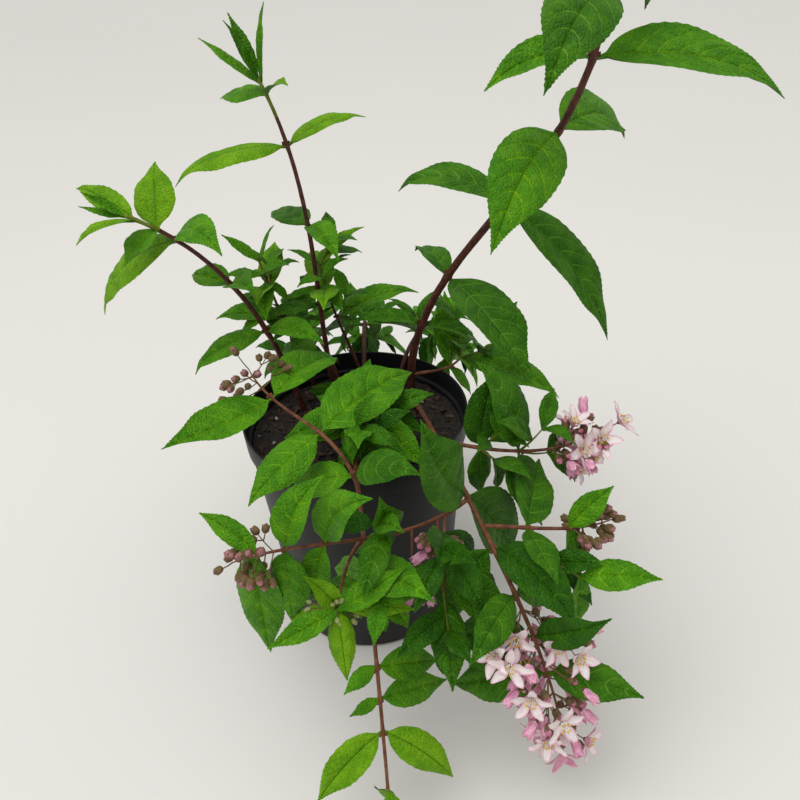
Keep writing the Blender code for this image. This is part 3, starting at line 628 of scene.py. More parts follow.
FOOT_Z = COMPOST_TOP + GAP
CANES = (
    Cane("tall_right", (0.047, 0.037, FOOT_Z), 342, -58, (-5, 38, -20), 0.405, 0.0065, 0.12, (
        Pair(0.17, 60, 0.055, 45, 75, 0.95, 0.3), Pair(0.29, -65, 0.1, 30, 75, 0.5, 0.5, 70),
        Pair(0.48, -108, 0.12, 40, 85, 0.67, 0.36, 70), Pair(0.64, -15, 0.1, 55, 80, 0.92, 0.44, 65),
        Pair(0.76, -155, 0.12, 40, 75, 0.55, 0.34, 65), Pair(0.85, -30, 0.09, 58, 80, 0.8, 0.44),
        Pair(0.93, 65, 0.06, 25, 55, 0.9, 0.32), Pair(0.98, -25, 0.045, 10, 30, 0.9, 0.28),
        Pair(1, 65, 0.028, 0, 15, 0.9, 0.28)), split=0.57),
    Cane("tall_left", (-0.014, 0.044, FOOT_Z), 179, -4, (7, 2, 22), 0.252, 0.0045, 0.26, (
        Pair(0.34, -112, 0.062, 36, 70, 0.75, 0.38), Pair(0.59, -31, 0.062, 35, 76, 0.75, 0.44, 60),
        Pair(0.82, -112, 0.082, 36, 68, 0.75, 0.36, 45), Pair(0.96, -48, 0.048, 35, 66, 0.62, 0.52),
        Pair(0.99, 95, 0.048, 0, 30, 0.95, 0.24), Pair(1, 5, 0.042, 0, 8, 0.95, 0.24)), split=0.7),
    Cane("left", (-0.04, 0.031, FOOT_Z), 200, -8, (11, 25, 60), 0.212, 0.005, 0.32, (
        Pair(0.38, -84, 0.065, 41, 70, 0.8, 0.38), Pair(0.6, -26, 0.045, 15, 70, 1, 0.5, 33),
        Pair(0.83, -51, 0.104, 55, 66, 0.66, 0.38, 90), Pair(0.9, 62, 0.046, 20, 62, 0.7, 0.76),
        Pair(0.97, 9, 0.056, 24, 42, 0.9, 0.32), Pair(1, 99, 0.03, 0, 10, 0.95, 0.26)), split=0.72),
    Cane("inner_middle", (0.013, 0.046, FOOT_Z), 179, 0, (12, 16, 6), 0.124, 0.003, 0.4, (
        Pair(0.6, 86, 0.068, 44, 69, 1, 0.38), Pair(0.8, -5, 0.056, 30, 60, 1, 0.42),
        Pair(0.97, 86, 0.044, 15, 50, 1, 0.4))),
    Cane("inner_left", (-0.027, 0.05, FOOT_Z), 189, 0, (18, 14, 12), 0.132, 0.003, 0.4, (
        Pair(0.44, 22, 0.058, 25, 65, 1, 0.44), Pair(0.6, -68, 0.054, 34, 60, 0.95, 0.44),
        Pair(0.8, 22, 0.05, 25, 60, 1, 0.42), Pair(0.98, -68, 0.032, 5, 35, 1, 0.34))),
    Cane("front", (-0.007, 0.007, FOOT_Z), 273, -5, (37, 135, 135), 0.339, 0.0038, 0.4, (
        Pair(0.5, -64, 0.052, 0, 95, 1.25, 0.42, 45), Pair(0.67, -143, 0.055, 7, 81, 0.5, 0.44, 36),
        Pair(0.73, -140, 0.062, 4, 85, 0.4, 0.36), Pair(0.79, 6, 0.064, 35, 60, 1, 0.48),
        Pair(0.9, -80, 0.04, -20, 60, 1, 0.4, -20), Pair(1, 6, 0.034, -25, 30, 1, 0.36)), split=0.7),
    Cane("bloom", (0.048, 0.024, FOOT_Z), 268, 42, (54, 116, 170), 0.318, 0.0044, 0.43, (
        Pair(0.45, 53, 0.095, -34, 84, 1, 0.46, 20), Pair(0.57, -40, 0.075, 60, 80, 1, 0.42),
        Pair(0.67, 25, 0.06, 25, 80, 1, 0.42), Pair(0.76, 112, 0.066, -7, 98, 1.05, 0.42, 10),
        Pair(0.84, 117, 0.06, 27, 84, 1.25, 0.44, 6)), split=0.68,
        head=FlowerHead(0.7, 8, 0.036, 0.78, 11)),
    Cane("front_left", (0.345, 0, 0), 126, 20, (5, 76, 20), 0.116, 0.003, 0, (
        Pair(0.09, -100, 0.058, 24, 73, 1, 0.46, 48), Pair(0.41, 15, 0.098, 32, 85, 0.68, 0.46, 20),
        Pair(0.78, 13, 0.086, 50, 80, 0.95, 0.42, -20)), parent="front",
        head=FlowerHead(0.86, 3, 0.03, 0, 4)),
    Cane("low_left", (0.46, 0, 0), 203, -13, (112, 77, 99), 0.154, 0.0032, 0, (
        Pair(0.33, 121, 0.055, -18, 62, 0.7, 0.42, -13), Pair(0.64, 96, 0.064, 58, 83, 0.8, 0.44, 12),
        Pair(0.79, 90, 0.058, 56, 84, 1.15, 0.42, 51),
        Pair(0.9, 112, 0.07, 75, 80, 1.45, 0.34, 50)), parent="bloom",
        head=FlowerHead(0.84, 5, 0.02, 0, 8)),
    Cane("right", (0.29, 0, 0), 329, 31, (86, 85, 53), 0.11, 0.003, 0, (
        Pair(0.24, 93, 0.058, 29, 88, 0.7, 0.58, 30),
        Pair(0.48, 90, 0.076, 40, 88, 0.9, 0.46, -20)), parent="bloom",
        head=FlowerHead(0.68, 5, 0.022, 0.5, 5)),
    Cane("low_right", (0.524, 0, 0), 342, 39, (83, 100, 91), 0.084, 0.003, 0, (
        Pair(0.3, -175, 0.065, 0, 76, 0.75, 0.48, 10),
        Pair(0.62, 95, 0.04, 20, 60, 1, 0.48)), parent="bloom",
        head=FlowerHead(0.66, 4, 0.02, 0.06, 9)),
    Cane("front_whorl", (0.43, 0, 0), 225, 45, (108, 118, 62), 0.052, 0.0026, 0, (
        Pair(0.84, -16, 0.056, 0, 92, 0.87, 0.32), Pair(0.91, 74, 0.042, 15, 70, 1.2, 0.36),
        Pair(0.98, -20, 0.047, 0, 80, 1.1, 0.34)), parent="front",
        head=FlowerHead(0.8, 2, 0.016, 0, 3, bud=0.0034)),
    Cane("pink_twig", (0.14, 0, 0), 262, 0, (80, 120, 150), 0.022, 0.0018, 0, (
        Pair(0.35, 80, 0.022, 20, 60, 1, 0.34),), parent="low_left",
        head=FlowerHead(0.45, 3, 0.015, 0.35, 13)),
    Cane("faded_twig", (0.26, 0, 0), 262, 0, (110, 148, 170), 0.04, 0.0018, 0, (
        Pair(0.5, 10, 0.02, 20, 60, 1, 0.34),), parent="low_left",
        head=FlowerHead(0.7, 2, 0.015, 0.45, 17)),
    Cane("inner_right", (0.05, 0, 0), 343, 30, (72, 78, 34), 0.04, 0.003, 0, (
        Pair(0.68, 111, 0.061, 30, 66, 0.5, 0.46),
        Pair(0.98, -40, 0.084, 29, 62, 0.6, 0.48)), parent="tall_right"),
    Cane("inner_front", (0.016, -0.004, FOOT_Z), 250, 10, (20, 55, 92), 0.078, 0.0028, 0.26, (
        Pair(0.34, 10, 0.05, 15, 60, 1, 0.5), Pair(0.58, 98, 0.052, 15, 65, 1, 0.48),
        Pair(0.8, 12, 0.056, 35, 65, 1, 0.48), Pair(1, 98, 0.044, 30, 45, 1, 0.46))),
    Cane("inner_bloom", (0.4, 0, 0), 246, 20, (80, 140, 172), 0.09, 0.0024, 0, (
        Pair(0.22, 5, 0.062, 15, 62, 0.9, 0.48, 40), Pair(0.45, 95, 0.056, 10, 66, 1, 0.46),
        Pair(0.68, 5, 0.064, 20, 56, 1, 0.44), Pair(0.92, 95, 0.06, 10, 40, 0.9, 0.42)), parent="bloom"),
    Cane("shade_right", (0.6, 0, 0), 348, -20, (72, 95, 120), 0.05, 0.0024, 0, (
        Pair(0.35, 80, 0.05, 20, 70, 0.9, 0.44), Pair(0.66, 5, 0.05, 15, 75, 1, 0.42),
        Pair(0.98, 95, 0.05, 20, 55, 0.9, 0.42)), parent="bloom"),
    Cane("back", (0.01, 0.05, FOOT_Z), 84, 6, (20, 125, 165), 0.205, 0.004, 0.3,
         back_pairs(0, 0.07), split=0.66),
    Cane("back_left", (-0.01, 0.058, FOOT_Z), 114, -10, (18, 122, 165), 0.19, 0.0036, 0.3,
         back_pairs(30, 0.066), split=0.66),
    Cane("back_right", (0.036, 0.047, FOOT_Z), 58, 10, (18, 125, 165), 0.19, 0.0036, 0.3,
         back_pairs(-20, 0.068), split=0.66),
)
CANE_BOOK = {cane.name: cane for cane in CANES}


def pot_wall_radius(z: float) -> float:
    """Outer radius of the pot's tapered wall at a height."""
    high = POT_RIM_RADIUS - COLLAR_STEP
    return POT_BASE_RADIUS + (high - POT_BASE_RADIUS) * z / (POT_HEIGHT - COLLAR_HEIGHT)


class Room:
    """The space already taken, asked before each leaf or bloom is placed."""

    def __init__(self) -> None:
        """Start with the pot and every shoot's stem taken."""
        self.taken: list[tuple[str, Array, Array, BVHTree]] = []
        collar_z = POT_HEIGHT - COLLAR_HEIGHT
        outline = [
            (pot_wall_radius(0.0), 0.0),
            (pot_wall_radius(collar_z), collar_z - GAP),
            (POT_RIM_RADIUS + GAP, collar_z - GAP),
            (POT_RIM_RADIUS + GAP, POT_HEIGHT + GAP),
            (POT_RIM_RADIUS - RIM_ROOM, POT_HEIGHT + GAP),
            (POT_RIM_RADIUS - RIM_ROOM, COMPOST_TOP + GAP),
            (GAP, COMPOST_TOP + GAP),
        ]
        self.take("pot", lofted([ring_corners(UP * z, UP, radius, POT_ROOM_SIDES) for radius, z in outline]))
        for cane in CANES:
            points = cane_points(cane.name)
            rings = [ring_corners(points[i], at_share(points, i / CANE_STEPS)[1],
                                  cane.radius(i / CANE_STEPS) + STEM_MARGIN, TUBE_SIDES)
                     for i in range(1, len(points))]
            self.take("stem of " + cane.name, lofted(rings))

    @staticmethod
    def solid(shape: Shell) -> tuple[Array, Array, BVHTree]:
        """Lowest corner, highest corner and search tree of a closed shape."""
        tree = BVHTree.FromPolygons([Vector(corner) for corner in shape[0]], shape[1])
        return np.min(shape[0], axis=0), np.max(shape[0], axis=0), tree

    def take(self, owner: str, shape: Shell) -> None:
        """Mark a closed shape as taken."""
        self.taken.append((owner, *self.solid(shape)))

    def is_free(self, shape: Shell, allowed: set[str]) -> bool:
        """Ask for room.

        Args:
            shape: The shape.
            allowed: Owners whose space it may touch.
        Returns:
            True where it touches nothing else and stays clear of the floor.
        """
        low, high, tree = self.solid(shape)
        if low[2] < FLOOR_CLEARANCE:
            return False
        for owner, other_low, other_high, other in self.taken:
            apart = (low > other_high).any() or (high < other_low).any()
            if owner not in allowed and not apart and tree.overlap(other):
                return False
        return True


@dataclass(frozen=True)
class SeatedLeaf:
    """A leaf that has found its place."""
    leaf: Leaf
    at: float
    is_side: bool = False


def leaf_owner(cane: Cane, number: int, half: int) -> str:
    """The name under which a leaf's space is held."""
    return f"leaf {number} {half} of {cane.name}"


def leaf_owners(cane: Cane) -> set[str]:
    """The names of all the shoot's leaves."""
    return {leaf_owner(cane, number, half) for number in range(len(cane.pairs)) for half in (0, 1)}


@dataclass
class Growth:
    """The whole plant as grown: leaves, blooms and side twigs by shoot."""
    twig_length: float = 0.030
    twig_play: float = 0.5
    twig_rise: float = 0.5
    twig_spread: float = 42.0
    twig_steps: int = 6
    twig_leaf: float = 0.050
    twig_parts: tuple = (1.0, 0.72)
    twig_leaf_play: float = 0.35
    twig_leaf_width: float = 0.44
    twig_leaf_spread: float = 70.0
    twig_tip_closer: float = 26.0
    twig_leaf_droop: float = 34.0
    twig_turn_play: float = 60.0
    twig_pairs: tuple = ((0.55, 20.0, 1.0), (1.0, 110.0, 0.8))
    twig_margin: float = 0.0003
    twig_rolls: tuple = (0.0, 35.0, -35.0, 70.0)
    extra_cores: tuple = (0.37, 0.42)
    closer_stalks: tuple = (0.75, 0.50)
    closer_seed: int = 40
    least_host_leaf: float = 0.040

    def __post_init__(self) -> None:
        """Grow by the solids' rule first, then fill in."""
        self.room = Room()
        self.leaves: dict[str, list[SeatedLeaf]] = {}
        self.blooms: dict[str, list[Bloom]] = {}
        self.twigs: dict[str, list[Array]] = {cane.name: [] for cane in CANES}
        for cane in CANES:
            self.leaves[cane.name] = self.seat_leaves(cane)
            self.blooms[cane.name] = self.seat_blooms(cane)
        for cane in CANES:
            if cane.head:
                self.fill_head(cane)
        for cane in CANES:
            self.fill_axils(cane)

    def seat_leaves(self, cane: Cane) -> list[SeatedLeaf]:
        """Place a shoot's leaves.

        Args:
            cane: The shoot.
        Returns:
            Its leaves, each turned a little where it would touch, or skipped.
        """
        seated = []
        for number, pair in enumerate(cane.pairs):
            allowed = {"stem of " + cane.name, leaf_owner(cane, number, 0)}
            if pair.spread < TIP_SPREAD or pair.at > TIP_SHARE:
                allowed |= leaf_owners(cane)
            for half, leaf in enumerate(cane.pair_leaves(pair)):
                leaf = replace(leaf, **SET_APART.get((cane.name, number, half), {}))
                for roll_step, droop_step in TURN_TRIALS:
                    trial = replace(leaf, roll=leaf.roll + roll_step, droop=leaf.droop + droop_step)
                    if self.room.is_free(trial.shell(ROOM_MARGIN), allowed):
                        self.room.take(leaf_owner(cane, number, half), trial.shell())
                        seated.append(SeatedLeaf(trial, pair.at))
                        break
        return seated

    def seat_blooms(self, cane: Cane) -> list[Bloom]:
        """Place a shoot's buds and flowers.

        Args:
            cane: The shoot.
        Returns:
            Those that find room: petals may lap, their middles may not.
        """
        seated = []
        own = {kind + " of " + cane.name for kind in ("stem", "stalk", "bloom")}
        company = own | {"core of " + cane.name} | leaf_owners(cane)
        is_free = self.room.is_free
        for bloom in cane.blooms() if cane.head else []:
            if (is_free(bloom.core(), own) and is_free(bloom.shell(BLOOM_MARGIN), company)
                    and is_free(bloom.stalk(BLOOM_MARGIN), company)):
                self.room.take("core of " + cane.name, bloom.core())
                self.room.take("bloom of " + cane.name, bloom.shell())
                self.room.take("stalk of " + cane.name, bloom.stalk())
                seated.append(bloom)
        return seated

    def fill_head(self, cane: Cane) -> None:
        """Add the head's blooms that fit once smaller middles are kept apart.

        Args:
            cane: The shoot that carries the head.
        """
        own = {kind + " of " + cane.name for kind in ("stem", "stalk", "bloom", "core")} | leaf_owners(cane)
        seated = list(self.blooms[cane.name])
        trees = [self.room.solid(bloom.core(*self.extra_cores))[2] for bloom in seated]
        heads = [cane.head]
        if cane.head.open_share:
            for k, share in enumerate(self.closer_stalks):
                seed = cane.head.seed + self.closer_seed + k
                heads.append(replace(cane.head, seed=seed, stalk=cane.head.stalk * share))
        for bloom in [bloom for head in heads for bloom in replace(cane, head=head).blooms()]:
            core = bloom.core(*self.extra_cores)
            tree = self.room.solid(core)[2]
            if bloom in seated or any(tree.overlap(other) for other in trees):
                continue
            if self.room.is_free(core, own):
                trees.append(tree)
                self.blooms[cane.name].append(bloom)

    def fill_axils(self, cane: Cane) -> None:
        """Grow short twigs with small leaves from the axils of a shoot's larger leaves.

        Args:
            cane: The shoot.
        """
        scale, last = FILLED_SHOOTS.get(cane.name, (1.0, 0.0))
        for number, host in enumerate(list(self.leaves[cane.name])):
            if host.leaf.size < self.least_host_leaf or host.at > last:
                continue
            along = np.array(host.leaf.along)
            luck = chance(CANES.index(cane) + 3, number)
            for part, step in product([scale * share for share in self.twig_parts], self.twig_rolls):
                grow = unit(swung(along, off_stem(along, host.leaf.roll + step), radians(self.twig_spread)))
                length = self.twig_length * part * (1.0 - self.twig_play / 2 + self.twig_play * luck)
                line = [np.array(host.leaf.base)]
                for k in range(self.twig_steps):
                    way = unit(grow + UP * self.twig_rise * k / self.twig_steps)
                    line.append(line[-1] + way * length / self.twig_steps)
                if self.seat_twig(cane, np.array(line), luck, part):
                    break

    def seat_twig(self, cane: Cane, line: Array, luck: float, scale: float) -> bool:
        """Dress a twig with leaves where there is room.

        Args:
            cane: The shoot that carries it.
            line: The twig's points.
            luck: Its chance number.
            scale: Its leaves' size over a full one's.
        Returns:
            True where at least two of its leaves stand.
        """
        own = {"stem of " + cane.name} | leaf_owners(cane)
        placed = []
        for share, turn, part in self.twig_pairs:
            base, along = at_share(line, share)
            play = 1.0 - self.twig_leaf_play / 2 + self.twig_leaf_play * luck
            spread = self.twig_leaf_spread - self.twig_tip_closer * share * share
            for half in (0.0, HALF_TURN):
                leaf = Leaf(cane.name, tuple(base), tuple(along), turn + half + self.twig_turn_play * luck,
                            spread, self.twig_leaf_droop, self.twig_leaf * scale * part * play,
                            self.twig_leaf_width)
                if self.room.is_free(leaf.shell(self.twig_margin), own):
                    placed.append(SeatedLeaf(leaf, share, True))
        if len(placed) < 2:
            return False
        for seated in placed:
            self.room.take("side leaf of " + cane.name, seated.leaf.shell())
        self.leaves[cane.name] += placed
        self.twigs[cane.name].append(line)
        return True


# Shoots with side twigs: the size of these over a full one's, and the place up to which they grow
FILLED_SHOOTS = {
    "inner_right": (1.0, 1.0), "inner_front": (0.75, 1.0), "inner_bloom": (1.0, 1.0),
    "shade_right": (0.7, 0.6), "back": (0.66, 0.80), "back_left": (0.66, 0.80), "back_right": (0.66, 0.80),
    "inner_left": (0.62, 1.0), "inner_middle": (0.62, 1.0), "front": (0.75, 0.58), "low_left": (0.8, 0.50),
    "right": (0.7, 0.62),
}
# How old the leaves of a shoot are, where that isn't full; the SHADED inner shoots get a darker green as
# painted shade
SHOOT_AGE_AND_SHADE = {
    "tall_left": AgeAndShade.FRESH, "left": AgeAndShade.FRESH, "inner_middle": AgeAndShade.FRESH, "inner_left": AgeAndShade.FRESH,
    "front": AgeAndShade.FRESH, "front_left": AgeAndShade.FRESH, "front_whorl": AgeAndShade.FRESH, "pink_twig": AgeAndShade.FRESH,
    "faded_twig": AgeAndShade.FRESH, "inner_bloom": AgeAndShade.SHADED, "shade_right": AgeAndShade.SHADED,
}
FRESH_BELOW = {"bloom": 0.45}
DARK_TO_THE_TIP = {"bloom", "right"}
# Leaves that stand differently than in the solids, by shoot, pair and side
SET_APART = {
    ("front", 3, 0): {"width": 0.38},
    ("front", 3, 1): {"width": 0.38},
    ("bloom", 1, 1): {"droop": 90.0, "spread": 50.0},
    ("bloom", 3, 0): {"width": 0.34},
    ("low_left", 3, 0): {"roll": 60.0, "droop": 40.0, "spread": 60.0, "size": 0.045},
}
HEAD_RIPENESS = {"front_whorl": Ripeness.GREEN, "low_left": Ripeness.DUSKY, "front_left": Ripeness.DUSKY,
                 "low_right": Ripeness.DUSKY, "pink_twig": Ripeness.BELL, "faded_twig": Ripeness.BELL}


class Wire:
    """A node's output socket that takes part in plain sums."""

    def __init__(self, shader: "Shader", socket: bpy.types.NodeSocket) -> None:
        """Keep the socket and the shader that owns it."""
        self.shader = shader
        self.socket = socket

    def joined(self, operation: str, first: Any, second: Any) -> "Wire":
        """Add the node that works out one operation.

        Args:
            operation: The operation's name.
            first: A wire, a number, a vector or a colour.
            second: The same.
        Returns:
            The result.
        """
        kinds = {value.socket.type for value in (first, second) if isinstance(value, Wire)}
        if "RGBA" in kinds:
            settings = {"data_type": "RGBA", "blend_type": operation}
            return self.shader.node("ShaderNodeMix", settings, {0: 1.0, 6: first, 7: second}, 2)
        kind = "ShaderNodeVectorMath" if "VECTOR" in kinds else "ShaderNodeMath"
        return self.shader.node(kind, {"operation": operation}, {0: first, 1: second})

    def __add__(self, other: Any) -> "Wire":
        """This plus the other."""
        return self.joined("ADD", self, other)

    def __sub__(self, other: Any) -> "Wire":
        """This less the other."""
        return self.joined("SUBTRACT", self, other)

    def __rsub__(self, other: Any) -> "Wire":
        """The other less this."""
        return self.joined("SUBTRACT", other, self)

    def __mul__(self, other: Any) -> "Wire":
        """This times the other."""
        return self.joined("MULTIPLY", self, other)

    __radd__ = __add__
    __rmul__ = __mul__


class Shader:
    """The nodes of one finish."""

    def __init__(self, name: str) -> None:
        """Start a material with its Principled shader.

        Args:
            name: The material's name.
        """
        self.material = bpy.data.materials.new(name)
        self.material.use_nodes = True
        self.tree = self.material.node_tree
        self.surface = self.tree.nodes["Principled BSDF"]
        self.place = self.node("ShaderNodeTexCoord", output=3)

    def node(self, kind: str, settings: dict[str, Any] | None = None,
             sockets: dict[Any, Any] | None = None, output: int = 0) -> Wire:
        """Add one node.

        Args:
            kind: The node's type.
            settings: Its own settings, such as a Math node's operation, which are set first.
            sockets: Values or wires by the input's number or name.
            output: Which output is wanted.
        Returns:
            That output.
        """
        made = self.tree.nodes.new(kind)
        for name, value in (settings or {}).items():
            setattr(made, name, value)
        for key, value in (sockets or {}).items():
            self.feed(made.inputs[key], value)
        return Wire(self, made.outputs[output])

    def feed(self, socket: bpy.types.NodeSocket, value: Any) -> None:
        """Feed an input.

        Args:
            socket: The input.
            value: A wire to link to it, or the value it is set to.
        """
        if isinstance(value, Wire):
            self.tree.links.new(value.socket, socket)
        elif socket.type == "RGBA":
            tint = (value, value, value) if isinstance(value, (int, float)) else value
            socket.default_value = (*tint[:3], 1.0)
        elif socket.type == "VECTOR" and isinstance(value, (int, float)):
            socket.default_value = (value, value, value)
        else:
            socket.default_value = value

    def noise(self, scale: float, detail: float = 2.0, stretch: Colour = (1.0, 1.0, 1.0)) -> Wire:
        """Soft noise from 0 to 1, with its waves in a metre, its finer layers and its stretch by axis."""
        place = self.place if stretch == (1.0, 1.0, 1.0) else self.place * stretch
        return self.node("ShaderNodeTexNoise", None, {"Vector": place, "Scale": scale, "Detail": detail})

    def cells(self, scale: float, feature: str = "F1") -> Wire:
        """The distance to the nearest of many scattered points, or to the lines between them."""
        sockets = {"Vector": self.place, "Scale": scale}
        return self.node("ShaderNodeTexVoronoi", {"feature": feature}, sockets)

    def between(self, value: Wire, low: float, high: float) -> Wire:
        """The value's smooth share of the way from low to high."""
        settings = {"interpolation_type": "SMOOTHSTEP"}
        return self.node("ShaderNodeMapRange", settings, {0: value, 1: low, 2: high})

    def blend(self, share: Any, first: Any, second: Any) -> Wire:
        """The first colour turned into the second by a share."""
        return self.node("ShaderNodeMix", {"data_type": "RGBA"}, {0: share, 6: first, 7: second}, 2)

    def finish(self, colour: Wire, roughness: Wire, relief: Wire, depth: float, strength: float = 0.6,
               **constants: float) -> bpy.types.Material:
        """Feed the surface.

        Args:
            colour: The base colour.
            roughness: The roughness.
            relief: The height of the fine relief.
            depth: How deep that relief is, in metres.
            strength: How strongly it shows.
            constants: Values of further sockets, with lines for spaces.
        Returns:
            The finished material.
        """
        bump = self.node("ShaderNodeBump", None, {"Strength": strength, "Distance": depth, "Height": relief})
        self.feed(self.surface.inputs["Base Color"], colour)
        self.feed(self.surface.inputs["Roughness"], roughness)
        self.feed(self.surface.inputs["Normal"], bump)
        for name, value in constants.items():
            self.surface.inputs[name.replace("_", " ")].default_value = value
        return self.material


@dataclass(frozen=True)
class GrownFinish:
    """A grown skin: two tones in soft patches with fine flecks, and a fine relief."""
    name: str
    dark: Colour
    light: Colour
    patch: float = 70.0
    fleck: float = 900.0
    fleck_share: float = 0.3
    gloss: float = 0.42
    gloss_play: float = 0.14
    relief: float = 1400.0
    depth: float = 0.00012
    spot: Colour | None = None
    spot_scale: float = 300.0
    spot_size: float = 0.22
    net: float = 0.0
    net_depth: float = 0.0006
    strength: float = 0.6
    glow: float = 0.0
    glow_depth: float = 0.002
    specular: float = 0.5
    patch_from: float = 0.36
    patch_to: float = 0.64
    spot_core: float = 0.6
    spot_relief: float = 0.8
    net_line: float = 0.30
    net_pale: float = 0.30

    def material(self) -> bpy.types.Material:
        """Build the finish.

        Returns:
            The material.
        """
        shader = Shader(self.name)
        patches = shader.noise(self.patch, 3.0)
        flecks = shader.noise(self.fleck, 2.0)
        tones = patches * (1.0 - self.fleck_share) + flecks * self.fleck_share
        colour = shader.blend(shader.between(tones, self.patch_from, self.patch_to), self.dark, self.light)
        grain = shader.noise(self.relief, 2.0)
        relief = grain
        if self.spot is not None:
            core = self.spot_size * self.spot_core
            spots = 1.0 - shader.between(shader.cells(self.spot_scale), core, self.spot_size)
            colour = shader.blend(spots, colour, self.spot)
            relief = relief + spots * self.spot_relief
        depth = self.depth
        if self.net:
            pads = shader.between(shader.cells(self.net, "DISTANCE_TO_EDGE"), 0.0, self.net_line)
            colour = shader.blend((1.0 - pads) * self.net_pale, colour, self.light)
            relief = pads + grain * (self.depth / self.net_depth)
            depth = self.net_depth
        roughness = self.gloss + self.gloss_play * (1.0 - patches)
        constants = {"Subsurface_Weight": self.glow, "Subsurface_Scale": self.glow_depth,
                     "Specular_IOR_Level": self.specular}
        return shader.finish(colour, roughness, relief, depth, self.strength, **constants)


@dataclass(frozen=True)
class PotFinish:
    """Matt moulded plastic with a fine grain, faint scuffs and dried compost at the foot and the collar."""
    name: str = "charcoal_plastic"
    plastic: Colour = (0.0075, 0.0085, 0.0100)
    worn: Colour = (0.019, 0.0205, 0.0225)
    soil: Colour = (0.046, 0.033, 0.023)
    foot_dirt: float = 0.030
    collar_z: float = POT_HEIGHT - COLLAR_HEIGHT
    rim_wear: float = 0.006

    def material(self) -> bpy.types.Material:
        """Build the finish.

        Returns:
            The material.
        """
        shader = Shader(self.name)
        height = shader.node("ShaderNodeSeparateXYZ", None, {0: shader.place}, 2)
        grain = shader.noise(1700.0, 2.0)
        clouds = shader.noise(28.0, 4.0)
        scratches = shader.between(shader.noise(55.0, 3.0, (1.0, 1.0, 9.0)), 0.60, 0.72)
        rim = shader.between(height, POT_HEIGHT - self.rim_wear, POT_HEIGHT)
        worn = scratches * 0.35 + rim * shader.between(clouds, 0.42, 0.6) * 0.55
        colour = shader.blend(worn, self.plastic, self.worn)
        foot = 1.0 - shader.between(height, 0.0, self.foot_dirt)
        ledge = shader.between(height, self.collar_z - 0.010, self.collar_z) * (
            1.0 - shader.between(height, self.collar_z, self.collar_z + 0.0015))
        specks = shader.between(shader.noise(420.0, 3.0), 0.50, 0.62)
        dirt = (foot * 0.8 + ledge * 0.5) * specks * shader.between(clouds, 0.38, 0.60)
        colour = shader.blend(dirt, colour, self.soil)
        roughness = 0.40 + clouds * 0.16 + dirt * 0.3
        relief = grain + specks * foot * 0.5
        return shader.finish(colour, roughness, relief, 0.00008, 0.5, Specular_IOR_Level=0.24)


@dataclass(frozen=True)
class SoilFinish:
    """Moist crumbs, from near black to red brown, with dry pale flecks."""
    name: str
    wet: Colour
    dry: Colour
    fleck: Colour
    crumb: float = 260.0
    depth: float = 0.0006

    def material(self) -> bpy.types.Material:
        """Build the finish.

        Returns:
            The material.
        """
        shader = Shader(self.name)
        lumps = shader.noise(self.crumb, 4.0)
        fine = shader.noise(self.crumb * 5.0, 3.0)
        colour = shader.blend(shader.between(lumps * 0.6 + fine * 0.4, 0.38, 0.66), self.wet, self.dry)
        flecks = shader.between(shader.noise(self.crumb * 3.1, 1.0), 0.70, 0.76)
        colour = shader.blend(flecks * 0.7, colour, self.fleck)
        roughness = 0.72 + fine * 0.25
        return shader.finish(colour, roughness, lumps + fine * 0.6, self.depth, 0.9)


@dataclass(frozen=True)
class BackdropFinish:
    """Pale paper under the plant."""
    name: str = "pale_paper"
    low: Colour = (0.768, 0.755, 0.725)
    high: Colour = (0.798, 0.785, 0.755)

    def material(self) -> bpy.types.Material:
        """Build the finish.

        Returns:
            The material.
        """
        shader = Shader(self.name)
        clouds = shader.noise(1.5, 2.0)
        colour = shader.blend(clouds, self.low, self.high)
        return shader.finish(colour, 0.55 + clouds * 0.1, shader.noise(300.0, 2.0), 0.0001, 0.1)


@dataclass(frozen=True)
class BladeFinish(GrownFinish):
    """The upper side of a leaf, with a fine raised net."""
    gloss: float = 0.42
    net: float = 420.0
    strength: float = 0.9
    specular: float = 0.16


@dataclass(frozen=True)
class PetalFinish(GrownFinish):
    """A petal's thin smooth skin."""
    patch: float = 260.0
    fleck: float = 1600.0
    gloss: float = 0.50
    glow: float = 0.10
    depth: float = 0.00005


LEAF_FINISHES = (
    BladeFinish("leaf_young", (0.088, 0.262, 0.002), (0.184, 0.405, 0.006), gloss=0.46, specular=0.13),
    BladeFinish("leaf_fresh", (0.040, 0.186, 0.002), (0.098, 0.305, 0.004), gloss=0.44),
    BladeFinish("leaf_full", (0.021, 0.108, 0.001), (0.058, 0.204, 0.002)),
    # The shaded green is painted shade: a darker copy of the leaf green for leaves inside the crown
    BladeFinish("leaf_shaded", (0.013, 0.076, 0.001), (0.033, 0.136, 0.002)),
    GrownFinish("leaf_underside", (0.056, 0.145, 0.018), (0.088, 0.190, 0.034), gloss=0.60, gloss_play=0.1,
                specular=0.12),
    GrownFinish("leaf_rib", (0.066, 0.205, 0.008), (0.105, 0.260, 0.018), gloss=0.48, specular=0.15),
)
UNDERSIDE_TONE = 4
RIB_TONE = 5
STEM_FINISHES = (
    GrownFinish("bark_maroon", (0.042, 0.010, 0.007), (0.105, 0.028, 0.016), patch=240.0, fleck=1500.0,
                gloss=0.50, relief=900.0, depth=0.0003, spot=(0.200, 0.100, 0.060), spot_scale=260.0,
                spot_size=0.12, specular=0.30),
    GrownFinish("bark_russet", (0.105, 0.034, 0.016), (0.215, 0.086, 0.040), patch=200.0, fleck=1300.0,
                gloss=0.50, relief=1000.0, depth=0.0002, spot=(0.250, 0.130, 0.065), spot_scale=320.0,
                spot_size=0.10, specular=0.25),
    GrownFinish("shoot_green", (0.110, 0.130, 0.014), (0.170, 0.215, 0.030), patch=200.0, gloss=0.45,
                relief=1200.0, specular=0.20),
)
MAROON, RUSSET, GREEN_SHOOT = range(3)
